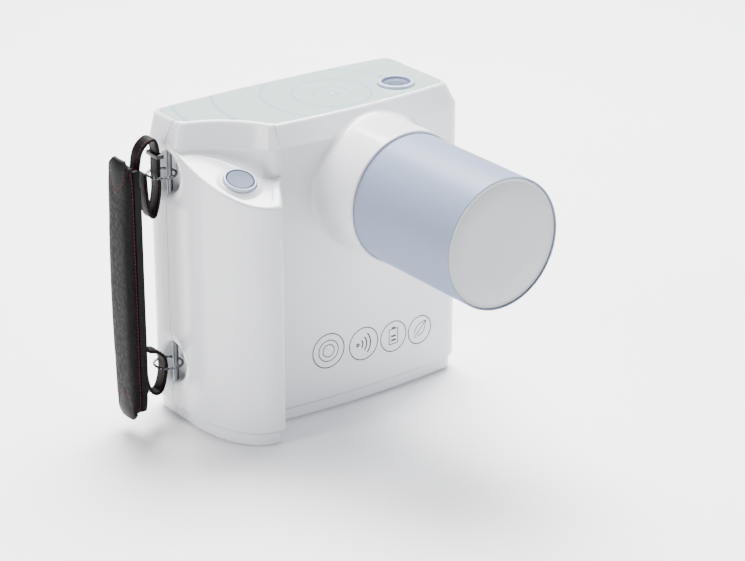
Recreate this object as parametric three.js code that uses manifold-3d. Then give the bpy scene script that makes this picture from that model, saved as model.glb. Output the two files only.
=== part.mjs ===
// Handheld intraoral x-ray unit: a two-part moulded housing with a grip at its left side, a beam cone at
// the front, a hand strap between two rings, and the x-ray, battery and control parts inside.
// Millimetres, +Z up. The beam leaves along -Y on the line x = 0, z = BEAM_HEIGHT; the front of the housing
// is at y = 0 there, and the shells part on the plane y = PARTING_Y. At the end the group is moved so that
// the bottom centre of its box is the origin.
import * as THREE from 'three';
import { mergeVertices } from 'three/addons/utils/BufferGeometryUtils.js';
import Module from 'manifold-3d';

const wasm = await Module();
wasm.setup();

// ---------------------------------------------------------------- driving dimensions
// Housing
const BODY_LEFT = -94;           // outer left side
const BODY_RIGHT = 58.5;         // outer right side
const REAR_Y = 65;               // furthest point of the crowned rear face
const REAR_APEX_X = -50;
const REAR_CROWN = 1000;         // radius of the rear crown, seen from above
const FRONT_CROWN = 450;         // radius of the front crown
const REAR_SHELL_DEPTH = 21;
const PARTING_Y = REAR_Y - REAR_SHELL_DEPTH;
const FOOT_HEIGHT = 1;           // how far the rubber feet stand proud of the base
const PLINTH_TOP = 7.5;
const PLINTH_INSET = 2;
const TOP_HEIGHT = 159;
const FACET_HEIGHT = 11;         // the upper facets start this far below the top
const BELT_HEIGHT = TOP_HEIGHT - FACET_HEIGHT;
const FACET_INSET = 5.3;         // how far the facets lean in at front and sides
const TOP_EDGE = 1;              // small edge break round the top
const WALL = 2.5;
const CORNER_FRONT = 9;
const CORNER_REAR_LEFT = 10;
const CORNER_REAR_RIGHT = 8;

// Grip and finger scoop
const GRIP_CENTRE_X = -66;
const GRIP_BACK_Y = 27;          // where the grip's curve leaves the left side
const GRIP_FRONT_Y = -15.5;
const GRIP_RIGHT_X = -65.3;
const GRIP_EDGE = 1.5;           // radius of the grip's front right edge
const GRIP_FILLET = 12;          // hollow between the grip and the front face
const LEDGE_Y = -17;             // the ledge plane passes this y at LEDGE_HEIGHT
const LEDGE_HEIGHT = TOP_HEIGHT - 32;
const LEDGE_SLOPE = 0.38;        // rise of the ledge towards the rear
const SCOOP_X = -100;            // axis of the finger scoop
const SCOOP_Y = -10;
const SCOOP_RADIUS = 44;
const SCOOP_FILLET = 8;
const HEAD_CORNER = 5;           // corner radius where the scoop meets the side and the front

// Beam parts
const CONE_RADIUS = 33;
const BEAM_MARGIN = 6;           // housing left between the cone and the top
const BEAM_HEIGHT = TOP_HEIGHT - CONE_RADIUS - BEAM_MARGIN;
const CONE_WALL = 1.6;
const CONE_LENGTH = 101;         // from the front face to the open end
const LINER_WALL = 1;
const COLLAR_LENGTH = 28;
const COLLAR_WALL = 1.5;
const COLLAR_RADIUS = CONE_RADIUS + COLLAR_WALL;
const COLLAR_FILLET = 3;         // hollow fillet round the collar's foot
const CONE_DEPTH = 4;            // how far the cone runs in behind the front face
const CAP_THICKNESS = 2;
const CAP_SINK = 0.8;            // the end cap lies this far inside the rim
const TANK_RADIUS = 30;
const TANK_WALL = 2.5;
const TANK_FRONT_Y = 9;
const TANK_BACK_Y = PARTING_Y + 6;
const BEAM_PORT_RADIUS = 8;
const APERTURE_THICKNESS = 2;
const FILTER_THICKNESS = 1.5;
const JACKET_WALL = 1;
const GLASS_RADIUS = 11;
const GLASS_WALL = 1.2;
const GLASS_LENGTH = 38;

// Controls
const EXPOSURE_X = -76.5;
const EXPOSURE_Y = 5.2;
const EXPOSURE_CAP_RADIUS = 6.8;
const EXPOSURE_RING_WALL = 1.15;
const EXPOSURE_PROUD = 2.6;      // how far the ring stands above the ledge
const EXPOSURE_TRAVEL = 1.5;
const POWER_X = 30.6;
const POWER_Y = 22;
const POWER_CAP_RADIUS = 7;
const POWER_RING_WALL = 2.25;
const POWER_PROUD = 1.5;
const POWER_TRAVEL = 0.8;
const LED_X = -3.9;
const LED_Y = 29.8;
const LED_RADIUS = 1.3;
const PANEL_THICKNESS = 0.7;
const PANEL_BORDER = 1.8;        // white edge left round the panel
const KEY_RADIUS = 6;
const KEY_FLANGE = 1;            // how far a key's flange stands out behind the panel
const KEY_SPACING = 2;           // gap between the flanges of neighbouring keys
const KEY_PITCH = 2 * (KEY_RADIUS + KEY_FLANGE) + KEY_SPACING;
const KEY_TRAVEL = 0.6;
const KEY_PROUD = 1.2;
const KEY_STEM_RADIUS = 2;
const KEYS_X = 22;
const KEYS_Z = 62;
const DISPLAY_X = -8;
const DISPLAY_Z = TOP_HEIGHT - 47;
const DISPLAY_WIDTH = 62;
const DISPLAY_HEIGHT = 36;
const REAR_PANEL_MARGIN = 6;     // rear panel's edge beyond the display
const SOCKET_X = -14;
const SOCKET_Z = 22;             // charging socket, on the rear face
const SOCKET_RADIUS = 4.2;
const SOCKET_DEPTH = 11;

// Strap
const POST_X = -91.5;            // the strap swings on the posts' line
const POST_RADIUS = 1.5;
const POST_LENGTH = 26;
const STRAP_UPPER_Z = TOP_HEIGHT - 26;
const STRAP_LOWER_Z = 31;
const POCKET_RADIUS = 10.5;
const POCKET_DEPTH = 6.6;
const RING_RADIUS = 7.2;
const RING_WIRE = 0.9;
const STRAP_WIDTH = 8;
const STRAP_THICKNESS = 1.6;
const STRAP_IN_RING = 2.8;       // middle of a strap inside the ring's outer wire
const PAD_X = -118;
const PAD_WIDTH = 20;
const PAD_THICKNESS = 7;
const PAD_BOTTOM = 8;
const PAD_TOP = TOP_HEIGHT - 13;
const PAD_BOW = 2.5;             // how far the pad's middle bows away from the hand
const BACKING_THICKNESS = 1.5;
const BACKING_MARGIN = 14;
const SLIDER_HEIGHT = 3.5;
const SLIDER_RIM = 1.5;

// Inside
const CELL_RADIUS = 9.2;
const CELL_LENGTH = 65;
const CELL_GAP = 0.8;
const CELL_X = -70;
const CELL_MARGIN = 0.9;         // between the last cell and the rear wall
const CELL_BOTTOM = 14;
const CELL_COUNT = 3;
const TRAY_THICKNESS = 2;
const BOARD_THICKNESS = 1.6;
const BOARD_MARGIN = 14.5;       // main board's edge inside the housing's right side
const BOARD_LEFT = -44;
const BOARD_BOTTOM = 16;
const BOARD_GAP = 4;             // between the main board and the tube tank above it
const MAIN_BOARD_Y = PARTING_Y;
const KEY_BOARD_Y = REAR_Y - 12;
const DISPLAY_MODULE_DEPTH = 5;
const BLOCK_WIDTH = 60;          // high-voltage block, under the tube tank
const BLOCK_DEPTH = 26;
const BLOCK_HEIGHT = 26;
const BLOCK_GAP = 6;
const BLOCK_Y = 25;
const CORE_WIDTH = 44;           // transformer core: two windows round a middle leg
const CORE_DEPTH = 16;
const CORE_HEIGHT = 36;
const CORE_LEG = 10;
const CORE_WINDOW = 10;
const CORE_Y = 22;
const CORE_YOKE = 7;
const COIL_WALL = 3.7;
const FOOT_RADIUS = 5;
const FOOT_SINK = 1.2;
const SCREW_RADIUS = 1.5;
const SCREW_HEAD_RADIUS = 2.9;
const SCREW_HEAD_HEIGHT = 2;
const SCREW_LENGTH = 16;
const SCREW_BOSS_RADIUS = 4.5;
const SCREW_SEAT_Y = REAR_Y - 9; // the screw heads rest here, in their counterbores
const SCREW_LOWER_Z = 15;

// Clearances
const SEAT = 0.3;                // gap between pieces that rest on or in each other
const RUN = 0.35;                // gap round a piece that slides
const EXTRA = 1;                 // how far a cutter passes the face it cuts

// Rings and routes that follow from the sizes above
const EXPOSURE_RING_RADIUS = EXPOSURE_CAP_RADIUS + RUN + EXPOSURE_RING_WALL;
const POWER_RING_RADIUS = POWER_CAP_RADIUS + RUN + POWER_RING_WALL;
const RING_X = POST_X - (RING_RADIUS - RING_WIRE - POST_RADIUS - SEAT);
const STRAP_DROP_X = RING_X - RING_RADIUS + RING_WIRE + STRAP_IN_RING;

// ---------------------------------------------------------------- colours
const finishes = {
  white: { color: 0xf1f2f3, roughness: 0.25, metalness: 0 },
  panel: { color: 0xd3dad9, roughness: 0.2, metalness: 0 },
  cone: { color: 0xb4bfcd, roughness: 0.3, metalness: 0 },
  cap: { color: 0xcfd0d2, roughness: 0.45, metalness: 0 },
  key: { color: 0xa3afc0, roughness: 0.35, metalness: 0 },
  bezel: { color: 0xe3e7ee, roughness: 0.3, metalness: 0 },
  led: { color: 0x45d3d8, roughness: 0.2, metalness: 0 },
  leather: { color: 0x1c1c1f, roughness: 0.7, metalness: 0 },
  blackPlastic: { color: 0x111113, roughness: 0.4, metalness: 0 },
  steel: { color: 0xc4c6c9, roughness: 0.25, metalness: 1 },
  lead: { color: 0x6f7276, roughness: 0.6, metalness: 0.8 },
  aluminium: { color: 0xb8bbbf, roughness: 0.4, metalness: 1 },
  copper: { color: 0xb87347, roughness: 0.35, metalness: 1 },
  glass: { color: 0xdfeaf0, roughness: 0.05, metalness: 0 },
  board: { color: 0x1f6b3c, roughness: 0.5, metalness: 0 },
  resin: { color: 0x2a2b30, roughness: 0.55, metalness: 0 },
  cell: { color: 0x2f6fb0, roughness: 0.4, metalness: 0 },
  rubber: { color: 0x4a4c50, roughness: 0.85, metalness: 0 },
};

// ---------------------------------------------------------------- solids
function toSolid(geometry) {
  const bare = geometry.index ? geometry.toNonIndexed() : geometry.clone();
  bare.deleteAttribute('normal');
  bare.deleteAttribute('uv');
  const merged = mergeVertices(bare, 1e-4);
  return new wasm.Manifold(new wasm.Mesh({
    numProp: 3,
    vertProperties: Float32Array.from(merged.attributes.position.array),
    triVerts: Uint32Array.from(merged.index.array),
  }));
}

function toGeometry(solid) {
  const mesh = solid.getMesh();
  const geometry = new THREE.BufferGeometry();
  geometry.setAttribute('position', new THREE.BufferAttribute(Float32Array.from(mesh.vertProperties), 3));
  geometry.setIndex(Array.from(mesh.triVerts));
  return geometry;
}

const group = new THREE.Group();

function addGeometry(name, geometry, finish) {
  const piece = new THREE.Mesh(geometry, new THREE.MeshStandardMaterial(finishes[finish]));
  piece.name = name;
  group.add(piece);
  return piece;
}

const addSolid = (name, solid, finish) => addGeometry(name, toGeometry(solid), finish);

// A closed solid through rings of equally many plan points, each ring flat at its own height.
function loft(rings) {
  const count = rings[0].points.length;
  const positions = rings.flatMap(({ points, z }) => points.flatMap(([x, y]) => [x, y, z]));
  const triangles = [];
  for (let level = 0; level < rings.length - 1; level += 1) {
    for (let i = 0; i < count; i += 1) {
      const a = level * count + i;
      const b = level * count + (i + 1) % count;
      triangles.push(a, b, b + count, a, b + count, a + count);
    }
  }
  const flat = (points) => points.map(([x, y]) => new THREE.Vector2(x, y));
  const cap = (ring) => THREE.ShapeUtils.triangulateShape(flat(ring.points), []);
  const last = (rings.length - 1) * count;
  cap(rings[0]).forEach(([a, b, c]) => triangles.push(a, c, b));
  cap(rings.at(-1)).forEach(([a, b, c]) => triangles.push(last + a, last + b, last + c));
  const geometry = new THREE.BufferGeometry();
  geometry.setAttribute('position', new THREE.BufferAttribute(Float32Array.from(positions), 3));
  geometry.setIndex(triangles);
  return geometry;
}

// A solid of revolution; profile points are [radius, height], the first and last on the axis or equal.
function turned(profile, steps = 24) {
  const geometry = new THREE.LatheGeometry(profile.map(([r, h]) => new THREE.Vector2(r, h)), steps);
  geometry.rotateX(Math.PI / 2);
  return geometry;
}

const disc = (radius, bottom, top, steps = 24) => turned(
  [[0, bottom], [radius, bottom], [radius, top], [0, top]], steps);

const ring = (inner, outer, bottom, top, steps = 24) => turned(
  [[inner, bottom], [outer, bottom], [outer, top], [inner, top], [inner, bottom]], steps);

// A turned solid stands on the XY plane; these lay its axis along -Y, towards the cone, or along +Y.
const forward = (geometry, x, y, z) => geometry.rotateX(Math.PI / 2).translate(x, y, z);
const rearward = (geometry, x, y, z) => geometry.rotateX(-Math.PI / 2).translate(x, y, z);

const box = (x0, x1, y0, y1, z0, z1) => new THREE.BoxGeometry(x1 - x0, y1 - y0, z1 - z0)
  .translate((x0 + x1) / 2, (y0 + y1) / 2, (z0 + z1) / 2);

// ---------------------------------------------------------------- housing outline
function arc(cx, cy, radius, fromDegrees, toDegrees, steps) {
  return Array.from({ length: steps + 1 }, (_, i) => {
    const angle = THREE.MathUtils.degToRad(fromDegrees + (toDegrees - fromDegrees) * i / steps);
    return [cx + radius * Math.cos(angle), cy + radius * Math.sin(angle)];
  });
}

const frontAt = (x, inset) => inset + x * x / (2 * FRONT_CROWN);
const rearAt = (x, inset) => REAR_Y - inset - (x - REAR_APEX_X) ** 2 / (2 * REAR_CROWN);

// The part of the outline that the grip and the head share: front, right side, rear and left side.
function sharedOutline({ side, front, rear }, frontStartX) {
  const left = BODY_LEFT + side;
  const right = BODY_RIGHT - side;
  const cornerFront = Math.max(CORNER_FRONT - front, 4);
  const cornerLeft = Math.max(CORNER_REAR_LEFT - side, 4);
  const cornerRight = Math.max(CORNER_REAR_RIGHT - side, 4);
  const frontEndX = right - cornerFront;
  const rearStartX = right - cornerRight;
  const rearEndX = left + cornerLeft;
  const crown = (from, to, steps, at) => Array.from({ length: steps - 1 }, (_, i) => {
    const x = from + (to - from) * (i + 1) / steps;
    return [x, at(x)];
  });
  return [
    ...crown(frontStartX, frontEndX, 5, (x) => frontAt(x, front)),
    ...arc(frontEndX, frontAt(frontEndX, front) + cornerFront, cornerFront, -87, 0, 3),
    ...arc(rearStartX, rearAt(rearStartX, rear) - cornerRight, cornerRight, 0, 86, 3),
    ...crown(rearStartX, rearEndX, 4, (x) => rearAt(x, rear)),
    ...arc(rearEndX, rearAt(rearEndX, rear) - cornerLeft, cornerLeft, 92, 180, 3),
  ];
}

// Housing with the grip's column, below the ledge.
function gripOutline(inset) {
  const { side, front } = inset;
  const left = BODY_LEFT + side;
  const gripRight = GRIP_RIGHT_X - side;
  const gripFront = GRIP_FRONT_Y + front;
  const hollow = GRIP_FILLET + side;
  const hollowX = gripRight + hollow;
  const hollowY = frontAt(hollowX, front) - hollow;
  const halfWidth = GRIP_CENTRE_X - side - left;
  const depth = GRIP_BACK_Y - gripFront;
  const column = Array.from({ length: 9 }, (_, i) => {
    const angle = Math.PI / 2 * i / 8;
    return [
      GRIP_CENTRE_X - side - halfWidth * Math.cos(angle) ** 0.9,
      GRIP_BACK_Y - depth * Math.sin(angle),
    ];
  }).slice(0, -1);
  return [
    ...sharedOutline(inset, hollowX),
    ...column,
    ...arc(gripRight - GRIP_EDGE, gripFront + GRIP_EDGE, GRIP_EDGE, -80, 0, 2),
    ...arc(hollowX, hollowY, hollow, 180, 90, 4),
  ];
}

// Housing above the ledge, where the finger scoop takes the grip's corner away.
function headOutline(inset) {
  const { side, front } = inset;
  const left = BODY_LEFT + side;
  const scoop = SCOOP_RADIUS + side;
  const reach = scoop + HEAD_CORNER;
  const sideX = left + HEAD_CORNER;
  const sideY = SCOOP_Y + Math.sqrt(reach ** 2 - (sideX - SCOOP_X) ** 2);
  const frontCornerY = frontAt(SCOOP_X + SCOOP_RADIUS, front) + HEAD_CORNER;
  const frontCornerX = SCOOP_X + Math.sqrt(reach ** 2 - (frontCornerY - SCOOP_Y) ** 2);
  const angleAt = (x, y) => THREE.MathUtils.radToDeg(Math.atan2(y - SCOOP_Y, x - SCOOP_X));
  const sideAngle = angleAt(sideX, sideY);
  const frontAngle = angleAt(frontCornerX, frontCornerY);
  return [
    ...sharedOutline(inset, frontCornerX),
    ...arc(sideX, sideY, HEAD_CORNER, 180, 180 + sideAngle, 3),
    ...arc(SCOOP_X, SCOOP_Y, scoop, sideAngle, frontAngle, 6).slice(1, -1),
    ...arc(frontCornerX, frontCornerY, HEAD_CORNER, 180 + frontAngle, 268, 3),
  ];
}

const allRound = (inset) => ({ side: inset, front: inset, rear: inset });

// Everything below the sloping ledge, moved down by drop.
function belowLedge(drop) {
  const reach = 400;
  const slab = new THREE.BoxGeometry(reach, reach, reach);
  slab.translate(0, 0, -reach / 2);
  slab.rotateX(Math.atan(LEDGE_SLOPE));
  slab.translate(0, LEDGE_Y, LEDGE_HEIGHT - drop);
  return toSolid(slab);
}

const ledgeAt = (y) => LEDGE_HEIGHT + LEDGE_SLOPE * (y - LEDGE_Y);

// The hollow fillet between the ledge and the scoop's upright wall.
function scoopFillet() {
  const outside = SCOOP_RADIUS + EXTRA;
  const curve = Array.from({ length: 4 }, (_, i) => {
    const angle = Math.PI / 2 * i / 3;
    return [SCOOP_RADIUS - SCOOP_FILLET * (1 - Math.sin(angle)), SCOOP_FILLET * (1 - Math.cos(angle))];
  });
  const profile = [[curve[0][0], -EXTRA], [outside, -EXTRA], [outside, SCOOP_FILLET], ...curve.reverse()];
  const geometry = turned([...profile, profile[0]], 40).translate(SCOOP_X, SCOOP_Y, 0);
  const place = geometry.attributes.position;
  for (let i = 0; i < place.count; i += 1) {
    place.setZ(i, place.getZ(i) + ledgeAt(place.getY(i)));
  }
  return toSolid(geometry);
}

function housingOutside() {
  const plinth = allRound(PLINTH_INSET);
  const columnRings = [
    { z: FOOT_HEIGHT, points: gripOutline(plinth) },
    { z: PLINTH_TOP, points: gripOutline(plinth) },
    { z: PLINTH_TOP + 0.7, points: gripOutline(allRound(0.9)) },
    { z: PLINTH_TOP + 2.2, points: gripOutline(allRound(0.25)) },
    { z: PLINTH_TOP + 4, points: gripOutline(allRound(0)) },
    { z: BELT_HEIGHT, points: gripOutline(allRound(0)) },
  ];
  const facet = { side: FACET_INSET, front: FACET_INSET, rear: 0.6 };
  const lip = { side: FACET_INSET + TOP_EDGE, front: FACET_INSET + TOP_EDGE, rear: 0.6 + TOP_EDGE };
  const headRings = [
    { z: PLINTH_TOP + 4, points: headOutline(allRound(0)) },
    { z: BELT_HEIGHT, points: headOutline(allRound(0)) },
    { z: TOP_HEIGHT - TOP_EDGE, points: headOutline(facet) },
    { z: TOP_HEIGHT, points: headOutline(lip) },
  ];
  const fullColumn = toSolid(loft(columnRings));
  const column = fullColumn.intersect(belowLedge(0));
  const fillet = scoopFillet().intersect(fullColumn);
  return column.add(toSolid(loft(headRings))).add(fillet);
}

function housingInside() {
  const inner = allRound(WALL);
  const upper = { side: FACET_INSET + WALL, front: FACET_INSET + WALL, rear: WALL + 0.6 };
  const column = toSolid(loft([
    { z: FOOT_HEIGHT + WALL, points: gripOutline(allRound(PLINTH_INSET + WALL)) },
    { z: PLINTH_TOP, points: gripOutline(allRound(PLINTH_INSET + WALL)) },
    { z: PLINTH_TOP + 4, points: gripOutline(inner) },
    { z: BELT_HEIGHT - WALL, points: gripOutline(inner) },
  ])).intersect(belowLedge(WALL));
  const head = toSolid(loft([
    { z: PLINTH_TOP + 4, points: headOutline(inner) },
    { z: BELT_HEIGHT, points: headOutline(inner) },
    { z: TOP_HEIGHT - WALL - PANEL_THICKNESS - SEAT, points: headOutline(upper) },
  ]));
  return column.add(head);
}

// ---------------------------------------------------------------- places that several pieces share
const PANEL_FLOOR = TOP_HEIGHT - PANEL_THICKNESS - SEAT;

// Places a solid standing on z = 0 on the ledge at the exposure button, its axis square to the ledge.
function onLedge(geometry) {
  return geometry.rotateX(Math.atan(LEDGE_SLOPE)).translate(EXPOSURE_X, EXPOSURE_Y, ledgeAt(EXPOSURE_Y));
}

// A plate that follows the crowned rear face, between two depths under it.
function rearBand(x0, x1, z0, z1, outerDepth, innerDepth) {
  const steps = 4;
  const across = Array.from({ length: steps + 1 }, (_, i) => x0 + (x1 - x0) * i / steps);
  const points = [
    ...across.map((x) => [x, rearAt(x, innerDepth)]),
    ...across.reverse().map((x) => [x, rearAt(x, outerDepth)]),
  ];
  return toSolid(loft([{ z: z0, points }, { z: z1, points }]));
}

const rearPanelEdges = [
  DISPLAY_X - DISPLAY_WIDTH / 2 - REAR_PANEL_MARGIN,
  KEYS_X + KEY_PITCH + KEY_RADIUS + REAR_PANEL_MARGIN / 2,
  KEYS_Z - KEY_PITCH - KEY_RADIUS - REAR_PANEL_MARGIN / 2,
  DISPLAY_Z + DISPLAY_HEIGHT / 2 + REAR_PANEL_MARGIN,
];

const windowEdges = [
  DISPLAY_X - DISPLAY_WIDTH / 2, DISPLAY_X + DISPLAY_WIDTH / 2,
  DISPLAY_Z - DISPLAY_HEIGHT / 2, DISPLAY_Z + DISPLAY_HEIGHT / 2,
];

const grown = ([x0, x1, z0, z1], by) => [x0 - by, x1 + by, z0 - by, z1 + by];

const keyPlaces = [
  ['key_left', KEYS_X - KEY_PITCH, KEYS_Z],
  ['key_right', KEYS_X + KEY_PITCH, KEYS_Z],
  ['key_up', KEYS_X, KEYS_Z + KEY_PITCH],
  ['key_down', KEYS_X, KEYS_Z - KEY_PITCH],
  ['key_select', KEYS_X, KEYS_Z],
];

const screwPlaces = [
  ['screw_lower_left', BODY_LEFT + 8.5, SCREW_LOWER_Z],
  ['screw_lower_right', BODY_RIGHT - 9, SCREW_LOWER_Z],
  ['screw_upper_left', BODY_LEFT + 11.5, BELT_HEIGHT - 1],
  ['screw_upper_right', BODY_RIGHT - 11.5, BELT_HEIGHT - 1],
];

const footPlaces = [
  ['foot_front_left', BODY_LEFT + 18, GRIP_FRONT_Y + 17.5],
  ['foot_front_right', BODY_RIGHT - 13.5, 15],
  ['foot_rear_left', BODY_LEFT + 14, REAR_Y - 13],
  ['foot_rear_right', BODY_RIGHT - 13.5, REAR_Y - 16],
];

// ---------------------------------------------------------------- housing shells
function panelPlan(clearance) {
  const inset = FACET_INSET + PANEL_BORDER + clearance;
  return headOutline({ side: inset, front: inset, rear: PANEL_BORDER + 1 + clearance });
}

const plate = (points, bottom, top) => toSolid(loft([{ z: bottom, points }, { z: top, points }]));

function strapPocket(z, grow) {
  const radius = POCKET_RADIUS + grow;
  const depth = POCKET_DEPTH + grow;
  const mouth = grow > 0 ? [[radius, 0], [0, 0]] : [[radius, 0], [radius + EXTRA, EXTRA], [0, EXTRA]];
  const profile = [[0, -depth], [radius * 0.75, -depth], [radius, -depth * 0.4], ...mouth];
  return toSolid(turned(profile, 18).rotateY(-Math.PI / 2).translate(BODY_LEFT, PARTING_Y, z));
}

function collarBoss() {
  const inner = CONE_RADIUS + SEAT;
  const fillet = arc(COLLAR_RADIUS + COLLAR_FILLET, COLLAR_FILLET, COLLAR_FILLET, 180, 270, 3);
  const foot = frontAt(COLLAR_RADIUS, 0);
  const profile = [
    [inner, -WALL], [COLLAR_RADIUS + COLLAR_FILLET, -WALL],
    ...fillet.reverse().map(([r, h]) => [r, h - foot]),
    [COLLAR_RADIUS, COLLAR_LENGTH - 0.6], [COLLAR_RADIUS - 0.6, COLLAR_LENGTH],
    [inner, COLLAR_LENGTH], [inner, -WALL],
  ];
  return toSolid(turned(profile, 36).rotateX(Math.PI / 2).translate(0, 0, BEAM_HEIGHT));
}

function makeShells() {
  const far = 300;
  const bosses = screwPlaces.map(([, x, z]) => {
    const start = frontAt(x, WALL / 2);
    return toSolid(rearward(disc(SCREW_BOSS_RADIUS, 0, rearAt(x, WALL / 2) - start, 16), x, start, z));
  });
  const outside = housingOutside();
  let housing = outside.subtract(housingInside());
  const added = [
    collarBoss(),
    ...bosses.map((boss) => boss.intersect(outside)),
    ...[STRAP_UPPER_Z, STRAP_LOWER_Z].map((z) => strapPocket(z, WALL).intersect(outside)),
  ];
  added.forEach((piece) => {
    housing = housing.add(piece);
  });
  const post = () => disc(POST_RADIUS + SEAT, -POST_LENGTH / 2 - SEAT, POST_LENGTH / 2 + SEAT, 12);
  const onPanel = (radius, bottom, top, x, y) => toSolid(disc(radius, bottom, top).translate(x, y, 0));
  const onRear = (radius, bottom, top, x, y, z) => toSolid(rearward(disc(radius, bottom, top, 16), x, y, z));
  const cuts = [
    plate(panelPlan(-SEAT), PANEL_FLOOR, TOP_HEIGHT + EXTRA),
    onPanel(POWER_RING_RADIUS - 1, TOP_HEIGHT - 8, TOP_HEIGHT, POWER_X, POWER_Y),
    onPanel(LED_RADIUS + SEAT, TOP_HEIGHT - 8, TOP_HEIGHT, LED_X, LED_Y),
    toSolid(onLedge(disc(EXPOSURE_RING_RADIUS + SEAT, -6, 9, 24))),
    toSolid(forward(disc(CONE_RADIUS + SEAT, -8, COLLAR_LENGTH + EXTRA, 36), 0, 0, BEAM_HEIGHT)),
    onRear(SOCKET_RADIUS + SEAT, -9, 6, SOCKET_X, REAR_Y, SOCKET_Z),
    rearBand(...grown(rearPanelEdges, SEAT), -3, PANEL_THICKNESS + SEAT),
    rearBand(...grown(windowEdges, -3), -3, 8),
    ...keyPlaces.map(([, x, z]) => onRear(KEY_RADIUS + RUN, -9, 5, x, REAR_Y, z)),
    ...[STRAP_UPPER_Z, STRAP_LOWER_Z].map((z) => strapPocket(z, 0)),
    ...[STRAP_UPPER_Z, STRAP_LOWER_Z].map((z) => toSolid(post().translate(POST_X, PARTING_Y, z))),
    ...screwPlaces.map(([, x, z]) => onRear(SCREW_HEAD_RADIUS + SEAT, 0, 20, x, SCREW_SEAT_Y, z)),
    ...screwPlaces.map(([, x, z]) => onRear(SCREW_RADIUS + SEAT, -SCREW_LENGTH - 1, 1, x, SCREW_SEAT_Y, z)),
    ...footPlaces.map(([, x, y]) => toSolid(
      disc(FOOT_RADIUS + SEAT, -EXTRA, FOOT_HEIGHT + FOOT_SINK, 20).translate(x, y, 0))),
  ];
  cuts.forEach((cut) => {
    housing = housing.subtract(cut);
  });
  const frontHalf = toSolid(box(-far, far, -far, PARTING_Y - SEAT / 2, -far, far));
  const rearHalf = toSolid(box(-far, far, PARTING_Y + SEAT / 2, far, -far, far));
  addSolid('front_shell', housing.intersect(frontHalf), 'white');
  addSolid('rear_shell', housing.intersect(rearHalf), 'white');
}

// ---------------------------------------------------------------- panel and controls
function makeTopPanel() {
  const holes = [
    disc(POWER_RING_RADIUS + SEAT, PANEL_FLOOR, TOP_HEIGHT + EXTRA).translate(POWER_X, POWER_Y, 0),
    disc(LED_RADIUS + SEAT, PANEL_FLOOR, TOP_HEIGHT + EXTRA).translate(LED_X, LED_Y, 0),
  ];
  const sheet = plate(panelPlan(0), PANEL_FLOOR + SEAT, TOP_HEIGHT);
  addSolid('top_panel', sheet.subtract(toSolid(holes[0])).subtract(toSolid(holes[1])), 'panel');
  const lamp = disc(LED_RADIUS, PANEL_FLOOR - 3, TOP_HEIGHT, 12);
  addGeometry('status_lamp', lamp.translate(LED_X, LED_Y, 0), 'led');
}

function makePowerButton() {
  const inner = POWER_CAP_RADIUS + RUN;
  const neck = POWER_RING_RADIUS - 1 - SEAT;
  const seat = PANEL_FLOOR + SEAT;
  const crown = TOP_HEIGHT + POWER_PROUD;
  const bezel = turned([
    [inner, seat - 3], [neck, seat - 3], [neck, seat], [POWER_RING_RADIUS, seat],
    [POWER_RING_RADIUS, crown - 0.5], [POWER_RING_RADIUS - 0.5, crown], [inner + 0.5, crown],
    [inner, crown - 0.5], [inner, seat - 3],
  ], 24);
  addGeometry('power_bezel', bezel.translate(POWER_X, POWER_Y, 0), 'bezel');
  const cap = turned([
    [0, seat - 4], [POWER_CAP_RADIUS, seat - 4], [POWER_CAP_RADIUS, TOP_HEIGHT - 0.1],
    [POWER_CAP_RADIUS - 0.5, TOP_HEIGHT + 0.3], [0, TOP_HEIGHT + 0.1],
  ], 24);
  addGeometry('power_button', cap.translate(POWER_X, POWER_Y, 0), 'key');
  const switchTop = seat - 4 - POWER_TRAVEL - SEAT;
  const body = box(-6, 6, -6, 6, switchTop - 4, switchTop);
  addGeometry('power_switch', body.translate(POWER_X, POWER_Y, 0), 'blackPlastic');
}

function makeExposureButton() {
  const inner = EXPOSURE_CAP_RADIUS + RUN;
  const bezel = turned([
    [inner, -3], [EXPOSURE_RING_RADIUS, -3], [EXPOSURE_RING_RADIUS, EXPOSURE_PROUD - 0.5],
    [EXPOSURE_RING_RADIUS - 0.5, EXPOSURE_PROUD], [inner + 0.2, EXPOSURE_PROUD],
    [inner, EXPOSURE_PROUD - 0.2], [inner, -3],
  ], 24);
  addGeometry('exposure_bezel', onLedge(bezel), 'bezel');
  const cap = turned([
    [0, -4], [EXPOSURE_CAP_RADIUS, -4], [EXPOSURE_CAP_RADIUS, EXPOSURE_PROUD - 0.6],
    [EXPOSURE_CAP_RADIUS - 0.5, EXPOSURE_PROUD - 0.2], [0, EXPOSURE_PROUD - 0.5],
  ], 24);
  addGeometry('exposure_button', onLedge(cap), 'key');
  const switchTop = -4 - EXPOSURE_TRAVEL - SEAT;
  addGeometry('exposure_switch', onLedge(box(-5, 5, -5, 5, switchTop - 4, switchTop)), 'blackPlastic');
}

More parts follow.
